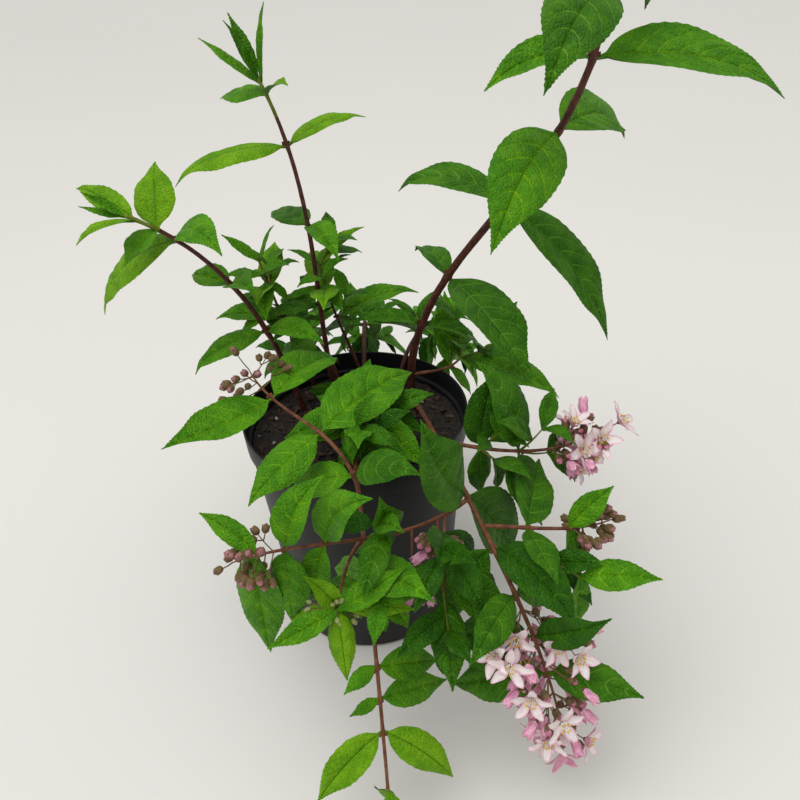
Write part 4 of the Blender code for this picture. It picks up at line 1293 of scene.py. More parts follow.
BLOSSOM_FINISHES = (
    PetalFinish("petal_white", (0.83, 0.71, 0.73), (0.91, 0.84, 0.83)),
    PetalFinish("petal_edge", (0.80, 0.45, 0.58), (0.90, 0.62, 0.71)),
    PetalFinish("petal_rose", (0.74, 0.28, 0.46), (0.88, 0.50, 0.63), patch=300.0),
    GrownFinish("bud_rose", (0.44, 0.11, 0.20), (0.66, 0.26, 0.37), patch=300.0, gloss=0.46),
    GrownFinish("calyx_olive", (0.105, 0.072, 0.026), (0.200, 0.125, 0.055), patch=420.0, gloss=0.56,
                specular=0.3),
    GrownFinish("bud_green", (0.240, 0.290, 0.085), (0.360, 0.380, 0.150), patch=420.0, gloss=0.50),
    GrownFinish("anther_yellow", (0.60, 0.34, 0.02), (0.80, 0.52, 0.05), patch=600.0, gloss=0.60),
    GrownFinish("filament_white", (0.80, 0.78, 0.70), (0.90, 0.88, 0.82), patch=600.0, gloss=0.50),
    GrownFinish("bud_dusky", (0.240, 0.095, 0.095), (0.400, 0.185, 0.190), patch=380.0, gloss=0.50,
                specular=0.3),
)
WHITE, EDGE, ROSE, BUD_ROSE, CALYX, BUD_GREEN, ANTHER, FILAMENT, BUD_DUSKY = range(9)
BUD_TONES = {Ripeness.GREEN: BUD_GREEN, Ripeness.DUSKY: BUD_DUSKY}


@cache
def sheet_faces(rows: int, columns: int, has_ends: bool) -> Faces:
    """List the faces of a thin sheet whose two sides share their outer columns.

    Args:
        rows: Rows of points.
        columns: Points in a row of its upper side.
        has_ends: Whether a face closes its first and its last row.
    Returns:
        Corner numbers of each face of the upper side, the under side and the ends.
    """
    top = np.arange(rows * columns).reshape(rows, columns)
    inner = np.arange(rows * (columns - 2)).reshape(rows, columns - 2) + rows * columns
    under = np.concatenate([top[:, :1], inner, top[:, -1:]], axis=1)
    faces = []
    for side, step in ((top, 1), (under, -1)):
        quads = np.stack([side[:-1, :-1], side[:-1, 1:], side[1:, 1:], side[1:, :-1]], axis=-1)
        faces += [tuple(quad) for quad in quads.reshape(-1, 4)[:, ::step].tolist()]
    if has_ends:
        for row, step in ((0, 1), (rows - 1, -1)):
            around = np.concatenate([top[row], inner[row, ::-1]])[::step]
            faces.append(tuple(around.tolist()))
    return faces


class Basket:
    """Points and faces gathered for one joined mesh, each face with the number of its finish."""

    def __init__(self) -> None:
        """Start empty."""
        self.points: list[Array] = []
        self.faces: Faces = []
        self.tones: list[int] = []
        self.count = 0

    def add(self, points: Any, faces: Faces, tones: int | Sequence[int]) -> None:
        """Add one shape.

        Args:
            points: Its points.
            faces: Its faces, numbered from its own first point.
            tones: The finish number of all its faces, or of each.
        """
        start = self.count
        self.points.append(np.asarray(points, float).reshape(-1, 3))
        self.count += len(self.points[-1])
        self.faces += [tuple(start + corner for corner in face) for face in faces]
        self.tones += [tones] * len(faces) if isinstance(tones, int) else list(tones)

    def add_rings(self, rings: Rings, first: Array, last: Array, tones: int | list[int]) -> None:
        """Add rings of equal count in a row, closed by a point at each end.

        Args:
            rings: The corners of each ring, which is turned so that it twists the tube least.
            first: The point at the start.
            last: The point at the end.
            tones: One finish number, or one for each band from the start's to the end's.
        """
        sides = len(rings[0])
        matched = [np.array(rings[0])]
        for ring in rings[1:]:
            turned = [np.roll(np.array(ring), k, axis=0) for k in range(sides)]
            matched.append(min(turned, key=lambda option: float(np.abs(option - matched[-1]).sum())))
        per_face = tones if isinstance(tones, int) else [tone for tone in tones for _ in range(sides)]
        self.add(np.vstack([first, *matched, last]), shell_faces(len(rings), sides), per_face)

    def add_tube(self, line: Array, radii: tuple[float, float], sides: int, tip: Array, tone: int) -> None:
        """Add a thin tube along a line.

        Args:
            line: Its points.
            radii: Its radius at the start and at the end.
            sides: Corners in each ring.
            tip: The point that closes its end.
            tone: Its finish number.
        """
        rings = []
        for i, point in enumerate(line):
            share = i / (len(line) - 1)
            radius = radii[0] + (radii[1] - radii[0]) * share
            rings.append(ring_corners(point, at_share(line, share)[1], radius, sides))
        self.add_rings(rings, line[0], tip, tone)

    def add_pod(self, foot: Array, grow: Array, size: float, profile: tuple, sides: int, tone: int) -> None:
        """Add a small turned shape.

        Args:
            foot: The place it is measured from.
            grow: Which way it points.
            size: Its size.
            profile: The place and the radius of each ring, and the place of each end, all over its size.
            sides: Corners in each ring.
            tone: Its finish number.
        """
        way = grow * size
        rings = [ring_corners(foot + way * at, grow, size * reach, sides) for at, reach in profile[0]]
        first, last = (foot + way * at for at in profile[1])
        self.add_rings(rings, first, last, tone)

    def add_sheet(self, top: Array, under: Array, tones: Sequence[int], under_tone: int,
                  has_ends: bool = False) -> None:
        """Add a thin sheet.

        Args:
            top: The points of its upper side, row by row.
            under: Those of its under side, without the outer columns that the two sides share.
            tones: The finish number of each face of the upper side.
            under_tone: That of all its other faces.
            has_ends: Whether a face closes its first and its last row.
        """
        faces = sheet_faces(top.shape[0], top.shape[1], has_ends)
        per_face = [*tones, *[under_tone] * (len(faces) - len(tones))]
        self.add(np.concatenate([top.reshape(-1, 3), under.reshape(-1, 3)]), faces, per_face)

    def build(self, name: str, finishes: Finishes, sharp: float = 60.0) -> bpy.types.Object:
        """Make the object.

        Args:
            name: Its name.
            finishes: Materials by finish number.
            sharp: The angle past which an edge stays sharp.
        Returns:
            The object, linked to the scene.
        """
        mesh = bpy.data.meshes.new(name)
        mesh.from_pydata(np.concatenate(self.points), [], self.faces)
        for finish in finishes:
            mesh.materials.append(finish)
        mesh.polygons.foreach_set("material_index", self.tones)
        mesh.shade_smooth()
        mesh.set_sharp_from_angle(angle=radians(sharp))
        thing = bpy.data.objects.new(name, mesh)
        bpy.context.scene.collection.objects.link(thing)
        return thing


def seat(piece: bpy.types.Object, slot: Slot, *nodes: str) -> None:
    """Give a finished piece to the frame.

    Args:
        piece: The piece.
        slot: Not used.
        nodes: The solids that it stands for.
    """
    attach(piece, BODY)
    if nodes:
        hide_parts(*nodes)
    triangles = sum(len(face.vertices) - 2 for face in piece.data.polygons)
    LOG.info("%s: %d triangles, stands for %d solids", piece.name, triangles, len(nodes))


@dataclass
class NurseryPot:
    """The thin tapered pot with its collar, rolled rim and drain holes."""
    steps: int = 160
    rim_round: float = 0.0008
    collar_draft: float = 0.0010
    collar_inner_step: float = 0.0012
    base_bevel: float = 0.003
    drain_holes: int = 8
    drain_radius: float = 0.0055
    drain_ring: float = 0.048
    drain_sides: int = 32
    drain_depth: float = 0.02
    round_steps: int = 4
    floor_round: float = 0.001
    sharp: float = 35.0
    finish: PotFinish = PotFinish()

    def rounded(self, centre: tuple[float, float], radius: float, first: float, last: float) -> list[tuple]:
        """Points of an arc in the section.

        Args:
            centre: Its centre.
            radius: Its radius.
            first: The angle where it starts.
            last: The angle where it ends.
        Returns:
            The points.
        """
        points = []
        for k in range(self.round_steps + 1):
            turn = radians(first + (last - first) * k / self.round_steps)
            points.append((centre[0] + radius * cos(turn), centre[1] + radius * sin(turn)))
        return points

    def section(self) -> list[tuple[float, float]]:
        """Draw the section.

        Returns:
            Its points up the inside, over the rim, down the collar and the wall to the underside.
        """
        inner = POT_RIM_RADIUS - POT_WALL
        step_z = POT_HEIGHT - COLLAR_HEIGHT
        turn, bevel = self.rim_round, self.base_bevel
        wall = pot_wall_radius
        collar = (POT_RIM_RADIUS - self.collar_draft - turn / 2, step_z + turn / 2)
        return [
            (0.0, POT_FLOOR),
            (wall(POT_FLOOR) - POT_WALL - self.floor_round, POT_FLOOR),
            (wall(POT_FLOOR) - POT_WALL, POT_FLOOR + self.floor_round),
            (wall(step_z) - POT_WALL, step_z + POT_WALL),
            (inner - self.collar_inner_step, step_z + 2.0 * POT_WALL),
            *self.rounded((inner + turn, POT_HEIGHT - turn), turn, 180.0, 90.0),
            *self.rounded((POT_RIM_RADIUS - turn, POT_HEIGHT - turn), turn, 80.0, 0.0),
            *self.rounded(collar, turn / 2, 0.0, -90.0),
            (wall(step_z), step_z - turn / 2),
            (wall(bevel), bevel),
            *self.rounded((POT_BASE_RADIUS - bevel, bevel), bevel, -10.0, -90.0),
            (0.0, 0.0),
        ]

    def build(self) -> None:
        """Turn the section and pierce the floor."""
        rings = [level_ring(radius, z, self.steps) for radius, z in self.section()[1:-1]]
        basket = Basket()
        basket.add_rings(rings, UP * POT_FLOOR, UP * 0.0, 0)
        pot = basket.build("nursery_pot", [self.finish.material()], self.sharp)
        shape = bmesh.new()
        shape.from_mesh(pot.data)
        bmesh.ops.recalc_face_normals(shape, faces=shape.faces)
        shape.to_mesh(pot.data)
        shape.free()
        self.pierce(pot)
        pot.data.shade_smooth()
        pot.data.set_sharp_from_angle(angle=radians(self.sharp))
        seat(pot, Slot.POT, "pot")

    def pierce(self, pot: bpy.types.Object) -> None:
        """Cut the drain holes.

        Args:
            pot: The pot, which keeps only the result.
        """
        cutters = []
        for k in range(self.drain_holes):
            turn = 2.0 * pi * (k + 0.5) / self.drain_holes
            shape = bmesh.new()
            place = Matrix.Translation((self.drain_ring * cos(turn), self.drain_ring * sin(turn), 0.0))
            bmesh.ops.create_cone(shape, cap_ends=True, segments=self.drain_sides, radius1=self.drain_radius,
                                  radius2=self.drain_radius, depth=self.drain_depth, matrix=place)
            mesh = bpy.data.meshes.new("drain")
            shape.to_mesh(mesh)
            shape.free()
            cutter = bpy.data.objects.new("drain", mesh)
            bpy.context.scene.collection.objects.link(cutter)
            cut = pot.modifiers.new("drain", "BOOLEAN")
            cut.operation = "DIFFERENCE"
            cut.object = cutter
            cutters.append(cutter)
        graph = bpy.context.evaluated_depsgraph_get()
        pierced = bpy.data.meshes.new_from_object(pot.evaluated_get(graph))
        pot.modifiers.clear()
        pot.data = pierced
        for cutter in cutters:
            bpy.data.objects.remove(cutter)


@dataclass
class Compost:
    """The crumbly compost with bark chips and grains of perlite on it."""
    rings: int = 44
    steps: int = 132
    crumb_height: float = 0.0022
    crumb_scale: float = 190.0
    swell_height: float = 0.0016
    swell_scale: float = 28.0
    settled: float = 0.0012
    chips: int = 300
    chip_length: float = 0.0065
    chip_lengths: tuple = (0.45, 1.2)
    chip_widths: tuple = (0.25, 0.35)
    chip_heights: tuple = (0.0007, 0.0011)
    chip_stretches: tuple = (0.8, 0.35)
    chip_ragged: float = 0.5
    chip_corners: int = 7
    chip_layers: tuple = ((-0.5, 0.8), (-0.15, 1.0), (0.3, 0.97), (0.5, 0.72))
    chip_faces_at: tuple = (-0.5, 0.55)
    chip_lift: float = 0.6
    chip_tilt: float = 0.22
    grains: int = 34
    grain_radius: float = 0.0011
    grain_sizes: tuple = (0.5, 0.9)
    grain_bulge: float = 0.38
    grain_lumps: float = 1.6
    grain_lift: float = 0.35
    edge_keep: float = 0.004
    seed: int = 21
    soil: SoilFinish = SoilFinish("compost_crumbs", (0.008, 0.0055, 0.0042), (0.036, 0.024, 0.017),
                                  (0.15, 0.11, 0.08))
    bark: SoilFinish = SoilFinish("bark_chip", (0.030, 0.016, 0.010), (0.095, 0.052, 0.031),
                                  (0.19, 0.13, 0.09), 150.0)
    grain: SoilFinish = SoilFinish("perlite_grain", (0.34, 0.32, 0.29), (0.60, 0.58, 0.54),
                                   (0.70, 0.69, 0.66), 500.0)

    def __post_init__(self) -> None:
        """Start the row of random numbers."""
        self.rng = np.random.default_rng(self.seed)

    def build(self) -> None:
        """Build the surface, the chips and the grains."""
        seat(self.surface(), Slot.COMPOST, "compost")
        seat(self.scatter_chips(), Slot.COMPOST)
        seat(self.scatter_grains(), Slot.COMPOST)

    def place(self, x: float, y: float) -> Array:
        """Find a point of the surface.

        Args:
            x: Its place along X.
            y: Its place along Y.
        Returns:
            The point, at the height of the swells and crumbs there.
        """
        swell = noise.noise(Vector((x, y, 0.3)) * self.swell_scale) * self.swell_height
        crumbs = noise.fractal(Vector((x, y, 1.7)) * self.crumb_scale, 0.7, 2.2, 4) * self.crumb_height
        return np.array([x, y, COMPOST_TOP - self.settled + swell + crumbs])

    def spot(self) -> Array:
        """Pick a point of the surface.

        Returns:
            The point.
        """
        reach = (pot_wall_radius(COMPOST_TOP) - POT_WALL - self.edge_keep) * self.rng.random() ** 0.5
        turn = 2.0 * pi * self.rng.random()
        return self.place(reach * cos(turn), reach * sin(turn))

    def surface(self) -> bpy.types.Object:
        """Build the crumbly top with its sides down the pot's wall.

        Returns:
            The object.
        """
        edge = pot_wall_radius(COMPOST_TOP) - POT_WALL - GAP
        foot = pot_wall_radius(POT_FLOOR) - POT_WALL - GAP
        rings = [level_ring(foot, POT_FLOOR + GAP, self.steps)]
        for r in range(self.rings, 0, -1):
            ring = level_ring(edge * r / self.rings, 0.0, self.steps)
            rings.append([self.place(x, y) for x, y, _ in ring])
        basket = Basket()
        basket.add_rings(rings, UP * (POT_FLOOR + GAP), self.place(0.0, 0.0), 0)
        return basket.build("compost_crumbs", [self.soil.material()], 80.0)

    def scatter_chips(self) -> bpy.types.Object:
        """Scatter flat splinters of bark.

        Returns:
            The joined splinters.
        """
        basket = Basket()
        for _ in range(self.chips):
            spot = self.spot()
            length = self.chip_length * picked(self.rng, self.chip_lengths)
            width = length * picked(self.rng, self.chip_widths)
            thick = picked(self.rng, self.chip_heights)
            outline = []
            for k in range(self.chip_corners):
                turn = 2.0 * pi * (k + self.chip_ragged * self.rng.random()) / self.chip_corners
                stretch = picked(self.rng, self.chip_stretches)
                outline.append((length / 2 * cos(turn) * stretch, width / 2 * sin(turn) * stretch))
            spin = Matrix.Rotation(2.0 * pi * self.rng.random(), 3, "Z")
            for axis in ("X", "Y"):
                spin = spin @ Matrix.Rotation(self.rng.normal(0.0, self.chip_tilt), 3, axis)
            centre = Vector(spot + UP * thick * self.chip_lift)
            rings = [[np.array(centre + spin @ Vector((a * shrink, b * shrink, lift * thick)))
                      for a, b in reversed(outline)] for lift, shrink in self.chip_layers]
            ends = [np.array(centre + spin @ Vector((0, 0, thick * lift))) for lift in self.chip_faces_at]
            basket.add_rings(rings, *ends, 0)
        return basket.build("bark_chips", [self.bark.material()], 40.0)

    def scatter_grains(self) -> bpy.types.Object:
        """Scatter pale puffed grains between the crumbs.

        Returns:
            The joined grains.
        """
        basket = Basket()
        ball = bmesh.new()
        bmesh.ops.create_icosphere(ball, subdivisions=2, radius=1.0)
        faces = [tuple(corner.index for corner in face.verts) for face in ball.faces]
        for number in range(self.grains):
            spot = self.spot()
            radius = self.grain_radius * picked(self.rng, self.grain_sizes)
            points = []
            for corner in ball.verts:
                lump = noise.noise(corner.co * self.grain_lumps + Vector((number, 0, 0)))
                bulge = 1.0 + self.grain_bulge * lump
                points.append(np.array(corner.co) * radius * bulge + (spot + UP * radius * self.grain_lift))
            basket.add(points, faces, 0)
        ball.free()
        return basket.build("perlite_grains", [self.grain.material()], 80.0)


@dataclass
class Grown:
    """What each sub-assembly of the plant is built from."""
    growth: Growth
    finishes: Finishes


@dataclass
class Stems(Grown):
    """Boughs and twigs with relief, swollen nodes and buds in the axils."""
    sides: int = 14
    ring_gap: float = 0.0016
    sink: float = 0.0015
    tip_round: float = 0.0012
    node_swell: float = 0.24
    node_reach: float = 0.0028
    ridge_depth: float = 0.085
    ridge_length: float = 0.016
    ridge_round: float = 2.6
    grain_depth: float = 0.03
    bud_length: float = 0.0023
    bud_lean: float = 0.55
    bud_rise: float = 0.0014
    bud_sides: int = 8
    bud_profile: tuple = (((0.0, 0.30), (0.25, 0.50), (0.55, 0.42), (0.82, 0.20)), (0.0, 1.0))
    green_from: float = 0.90
    head_thinning: float = 0.55
    foot_flare: float = 1.25
    foot_depth: float = 0.8
    twig_radii: tuple = (0.0009375, 0.0004875)
    twig_sides: int = 8
    twig_tip: float = 0.0015

    def build(self) -> None:
        """Build the old shoots and the flowering side shoots as two pieces."""
        groups = {"shoots": [c for c in CANES if c.bough], "side_shoots": [c for c in CANES if not c.bough]}
        for name, canes in groups.items():
            basket = Basket()
            for cane in canes:
                self.add_shoot(basket, cane)
            nodes = [cane.name + "_bough" for cane in canes if cane.bough]
            nodes += [] if nodes else [mass for cane in canes for mass in cane.masses()]
            seat(basket.build(name, self.finishes, 70.0), Slot.BARK, *nodes)

    def add_shoot(self, basket: Basket, cane: Cane) -> None:
        """Add one shoot with its buds and side twigs.

        Args:
            basket: Where it goes.
            cane: The shoot.
        """
        points = cane_points(cane.name)
        tone = MAROON if cane.name in MAROON_SHOOTS else RUSSET
        count = ceil(cane.length / self.ring_gap)
        rings, tones = [], []
        for i in range(count + 1):
            rings.append(self.ring(cane, i / count))
            tones.append(GREEN_SHOOT if i / count > self.green_from and cane.head is None else tone)
        if cane.parent:
            start, along = at_share(points, 0.0)
            middle = start - along * (CANE_BOOK[cane.parent].radius(cane.foot[0]) * self.foot_depth)
            rings.insert(0, ring_corners(middle, along, cane.radius(0.0) * self.foot_flare, self.sides))
            tones.insert(0, tones[0])
        tip, along = at_share(points, 1.0)
        tones.append(tones[-1])
        basket.add_rings(rings, sum(rings[0]) / self.sides, tip + along * self.tip_round, tones)
        for pair in cane.pairs:
            if pair.at < TIP_SHARE:
                self.add_buds(basket, cane, pair, tone)
        for line in self.growth.twigs[cane.name]:
            tip = line[-1] + unit(line[-1] - line[-2]) * self.twig_tip
            basket.add_tube(line, self.twig_radii, self.twig_sides, tip, GREEN_SHOOT)

    def ring(self, cane: Cane, share: float) -> list[Array]:
        """Lay one ring of bark.

        Args:
            cane: The shoot.
            share: The ring's place along it.
        Returns:
            The ring's corners, with ridges, and swollen at a leaf pair.
        """
        point, along = at_share(cane_points(cane.name), share)
        if share == 0.0 and not cane.parent:
            point = point - UP * self.sink
        side, top = stem_frame(along)
        nodes = [at for at in sorted({pair.at for pair in cane.pairs}) if at < 0.99]
        swell = sum(np.exp(-((share - at) * cane.length / self.node_reach) ** 2) for at in nodes)
        radius = cane.radius(share) * (1.0 + self.node_swell * min(float(swell), 1.0))
        if cane.head is not None and share > cane.head.start:
            radius *= 1.0 - self.head_thinning * (share - cane.head.start) / (1.0 - cane.head.start)
        corners = []
        for turn in turns_of(self.sides):
            where = Vector((cos(turn) * self.ridge_round, sin(turn) * self.ridge_round,
                            share * cane.length / self.ridge_length + cane.heading))
            ridge = self.ridge_depth * noise.noise(where)
            rough = radius * (1.0 + ridge + self.grain_depth * noise.noise(where * 4.0))
            corners.append(point + swung(side, top, turn) * rough)
        return corners

    def add_buds(self, basket: Basket, cane: Cane, pair: Pair, tone: int) -> None:
        """Add the two resting buds at a leaf pair.

        Args:
            basket: Where they go.
            cane: The shoot.
            pair: The leaf pair.
            tone: Their finish number.
        """
        base, along = at_share(cane_points(cane.name), pair.at)
        for half in (0.0, HALF_TURN):
            out = off_stem(along, pair.roll + half)
            foot = base + out * cane.radius(pair.at) * 1.1 + along * self.bud_rise
            length = self.bud_length * (0.7 + 0.6 * chance(pair.roll + half, pair.at))
            grow = unit(along + out * self.bud_lean)
            basket.add_pod(foot, grow, length, self.bud_profile, self.bud_sides, tone)


@dataclass
class Foliage(Grown):
    """Leaves with toothed margins, sunken side veins and a pale rib."""
    phases: tuple = (0.0, 0.17, 0.33, 0.50, 0.67, 0.83, 1.0)
    small_phases: tuple = (0.0, 0.25, 0.50, 0.75)
    outline_rise: float = 0.62
    outline_fall: float = 0.98
    outline_peak: float = 0.3437
    outline_most: float = 0.452
    columns: tuple = (-1.0, -0.86, -0.62, -0.36, -0.14, -0.03, 0.0, 0.03, 0.14, 0.36, 0.62, 0.86, 1.0)
    small_columns: tuple = (-1.0, -0.66, -0.34, 0.0, 0.34, 0.66, 1.0)
    small_leaf: float = 0.034
    rib_steps: int = 30
    vein_gap: float = 0.0120
    fewest_veins: int = 4
    vein_arch: float = 0.32
    vein_cusp: float = 0.7
    vein_depth: float = 0.0135
    vein_half: float = 0.056
    vein_from: float = 0.10
    vein_to: float = 0.90
    rib_depth: float = 0.0004
    tooth: float = 0.0005
    tip_curl: float = 0.60
    tip_from: float = 0.66
    tooth_from: float = 0.14
    tooth_to: float = 0.975
    thickness: float = 0.00030
    petiole_thickness: float = 0.0011
    rib_thickness: float = 0.0007
    wave: float = 0.07
    fold: float = 0.13
    fold_play: float = 0.22
    play: float = 0.5
    cup: float = 0.24
    draw_out_from: float = 0.58
    draw_out: float = 0.50
    upper_from: float = 0.58
    young_from: float = 0.78
    tip_leaves_from: float = 0.97
    older_share: float = 0.14
    younger_from: float = 0.93
    seed: int = 5

    def __post_init__(self) -> None:
        """Start the row of random numbers."""
        self.rng = np.random.default_rng(self.seed)

    def build(self) -> None:
        """Build the leaves, one piece for each part of the crown."""
        for name, shoots in LEAF_GROUPS.items():
            basket = Basket()
            nodes = []
            for shoot in shoots:
                cane = CANE_BOOK[shoot]
                nodes += cane.masses()
                for seated in self.growth.leaves[shoot]:
                    self.add_leaf(basket, seated)
            seat(basket.build(name, self.finishes, 75.0), Slot.FOLIAGE, *nodes)

    def age(self, seated: SeatedLeaf) -> AgeAndShade:
        """Tell how old a leaf is.

        Args:
            seated: The leaf.
        Returns:
            Its tone: the tip's leaves are young, luck shifts the others a step older or younger, and the
                SHADED green is painted shade, not an older leaf.
        """
        shoot = seated.leaf.cane
        at = min(seated.at, self.upper_from) if shoot in DARK_TO_THE_TIP else seated.at
        # shoots listed as SHADED take the painted-shade green
        own = SHOOT_AGE_AND_SHADE.get(shoot, AgeAndShade.FULL).value
        if seated.is_side:
            own = max(own, AgeAndShade.FRESH.value)
        elif at > self.tip_leaves_from:
            own = min(own, AgeAndShade.FRESH.value)
        elif at > self.young_from:
            own = max(own - 1, AgeAndShade.YOUNG.value)
        elif at > self.upper_from or at < FRESH_BELOW.get(shoot, 0.0):
            own = max(own - 1, AgeAndShade.FRESH.value)
        luck = self.rng.random()
        own += 1 if luck < self.older_share else -1 if luck > self.younger_from and own > 1 else 0
        return AgeAndShade(min(max(own, AgeAndShade.YOUNG.value), AgeAndShade.SHADED.value))

    def add_leaf(self, basket: Basket, seated: SeatedLeaf) -> None:
        """Add one leaf, its rib and side veins a tone paler than its blade.

        Args:
            basket: Where it goes.
            seated: The leaf.
        """
        leaf = seated.leaf
        tone = self.age(seated).value
        is_small = leaf.size < self.small_leaf
        u = np.array(self.small_columns if is_small else self.columns)
        rows_at = self.rows(leaf, self.small_phases if is_small else self.phases)
        top, under = self.blade(leaf, u, rows_at)
        tones = np.full((len(rows_at) - 1, len(u) - 1), tone)
        if not is_small:
            vein_tone = tone - 1 if tone in (AgeAndShade.FRESH.value, AgeAndShade.SHADED.value) else RIB_TONE
            shares, sides = rows_at[:-1, 0], rows_at[:-1, 1]
            if tone:
                tones[(sides < 0) & (shares > self.vein_from) & (shares < self.vein_to), 1:-1] = vein_tone
            middle = len(u) // 2
            tones[:, middle - 1:middle + 1] = vein_tone
        basket.add_sheet(top, under[:, 1:-1], tones.reshape(-1).tolist(), UNDERSIDE_TONE, True)

    def veins(self, leaf: Leaf) -> int:
        """How many side veins each half of the blade has."""
        return max(round(leaf.size / self.vein_gap), self.fewest_veins)

    def rows(self, leaf: Leaf, phases: tuple) -> Array:
        """Lay the rows of a leaf.

        Args:
            leaf: The leaf.
            phases: Where the rows lie between one side vein and the next.
        Returns:
            For each row its share of the leaf, its side of a vein's line (-1, 0 or 1), and 1 where it ends
            in a tooth.
        """
        veins = self.veins(leaf)
        found = []
        for k in range(veins):
            for number, phase in enumerate(phases):
                after = phase == 0.0 and k > 0 and phases[-1] == 1.0
                before = phase == 1.0 and k < veins - 1
                found.append(((k + phase) / veins, int(after) - int(before), number % 2))
        if phases[-1] < 1.0:
            found.append((1.0, 0, 0))
        return np.array(found)

    def blade(self, leaf: Leaf, u: Array, rows_at: Array) -> tuple[Array, Array]:
        """Shape one blade.

        Args:
            leaf: The leaf.
            u: Places across the blade, from -1 to 1.
            rows_at: Its rows.
        Returns:
            The upper and the under side's points, row by row.
        """
        rng = self.rng
        phase, curl = 2.0 * pi * rng.random(), rng.normal(0.0, self.play)
        tip, fold = rng.random(), rng.normal(0.0, self.play)
        veins = self.veins(leaf)
        reach = np.abs(u)[None, :]
        s = rows_at[:, :1] + rows_at[:, 1:2] * self.vein_half / veins * (1.0 - 0.75 * reach)
        ahead = s + self.vein_arch * reach ** 1.5 * np.sin(pi * s) * (1.0 - s) ** 0.5
        ahead = np.clip(ahead, 0.0, 1.0)
        rib, lines = leaf.rib(self.rib_steps)
        place = ahead * self.rib_steps
        low = np.minimum(place.astype(int), self.rib_steps - 1)
        part = (place - low)[..., None]
        point = rib[low] * (1.0 - part) + rib[low + 1] * part
        direction = units(lines[low] * (1.0 - part) + lines[low + 1] * part)
        uppers = leaf.uppers()
        upper = np.stack([np.interp(ahead, LEAF_STATIONS, uppers[:, k]) for k in range(3)], axis=-1)
        upper = units(upper - direction * (upper * direction).sum(axis=-1, keepdims=True))
        across = np.cross(direction, upper)
        t = np.clip((ahead - PETIOLE_SHARE) / (1.0 - PETIOLE_SHARE), 0.0, 1.0)
        whole = t ** self.outline_rise * (1.0 - t) ** self.outline_fall / self.outline_peak
        drawn = np.clip((t - self.draw_out_from) / (1.0 - self.draw_out_from), 0.0, 1.0)
        half = self.outline_most * whole * (1.0 - self.draw_out * drawn * drawn * (3.0 - 2.0 * drawn))
        half = half * leaf.width * leaf.size
        scale = leaf.size / 0.08
        in_blade = (s > self.tooth_from) & (s < self.tooth_to)
        on_tooth = (rows_at[:, 2:] > 0) & in_blade & (reach == 1.0)
        half = half + on_tooth * self.tooth * (0.6 + 0.4 * scale)
        half = np.maximum(half, PETIOLE_RADIUS * (1.0 - 0.75 * s))
        bow = np.sin(pi * s)
        lift = (LEAF_KEEL + self.fold + self.fold_play * fold) * half * reach
        lift -= self.cup * half * reach ** 3 * (0.6 + curl)
        lift += self.wave * half * reach ** 2 * np.sin(5.0 * pi * s + phase + (u > 0) * 1.3) * bow
        puff = np.abs(np.sin(pi * veins * s)) ** self.vein_cusp
        lift += self.vein_depth * leaf.size * puff * np.sin(pi * reach ** 0.6) * bow ** 0.6
        lift -= self.rib_depth * scale * (reach < 0.01) * bow ** 0.4
        lift -= self.tip_curl * tip * leaf.size * np.clip(s - self.tip_from, 0.0, 1.0) ** 2
        top = point + across * (half * u[None, :])[..., None] + upper * lift[..., None]
        fade = np.clip((s - PETIOLE_SHARE) / (PETIOLE_END - PETIOLE_SHARE), 0.0, 1.0)
        thick = self.petiole_thickness * (1.0 - fade) + self.thickness * fade
        thick = thick + self.rib_thickness * scale * np.exp(-(reach / 0.06) ** 2) * (1.0 - s)
        return top, top - upper * (thick * np.ones_like(half))[..., None]


@dataclass(frozen=True)
class Husk:
    """A fluted closed shape: a bud, or the toothed cup under it, with its measures over the bud's size."""
    rings: tuple
    ends: tuple
    tooth: float = 0.0
    twist: float = 0.0
    fold: float = 0.0
    sides: int = 10

    def add(self, basket: Basket, centre: Array, facing: Array, size: float, tone: int) -> None:
        """Add one.

        Args:
            basket: Where it goes.
            centre: The middle of the bud or flower.
            facing: Where that faces.
            size: The bud's size.
            tone: The finish number.
        """
        side, top = stem_frame(facing)
        rings = []
        for at, reach in self.rings:
            ring = []
            for k in range(self.sides):
                sign = -1.0 if k % 2 else 1.0
                turn = 2.0 * pi * (k + at * self.twist) / self.sides
                out = swung(side, top, turn) * size * reach * (1.0 + self.fold * sign)
                tooth = self.tooth * sign if at == self.rings[-1][0] else 0.0
                ring.append(centre + facing * size * (at + tooth) + out)
            rings.append(ring)
        first, last = (centre + facing * size * at for at in self.ends)
        basket.add_rings(rings, first, last, tone)


@dataclass(frozen=True)
class Petal:
    """One petal, placed: the flower's middle and facing, its own direction, and how it opens."""
    centre: Array
    facing: Array
    out: Array
    length: float
    rise: float
    bend: float
    shades: tuple[int, int]


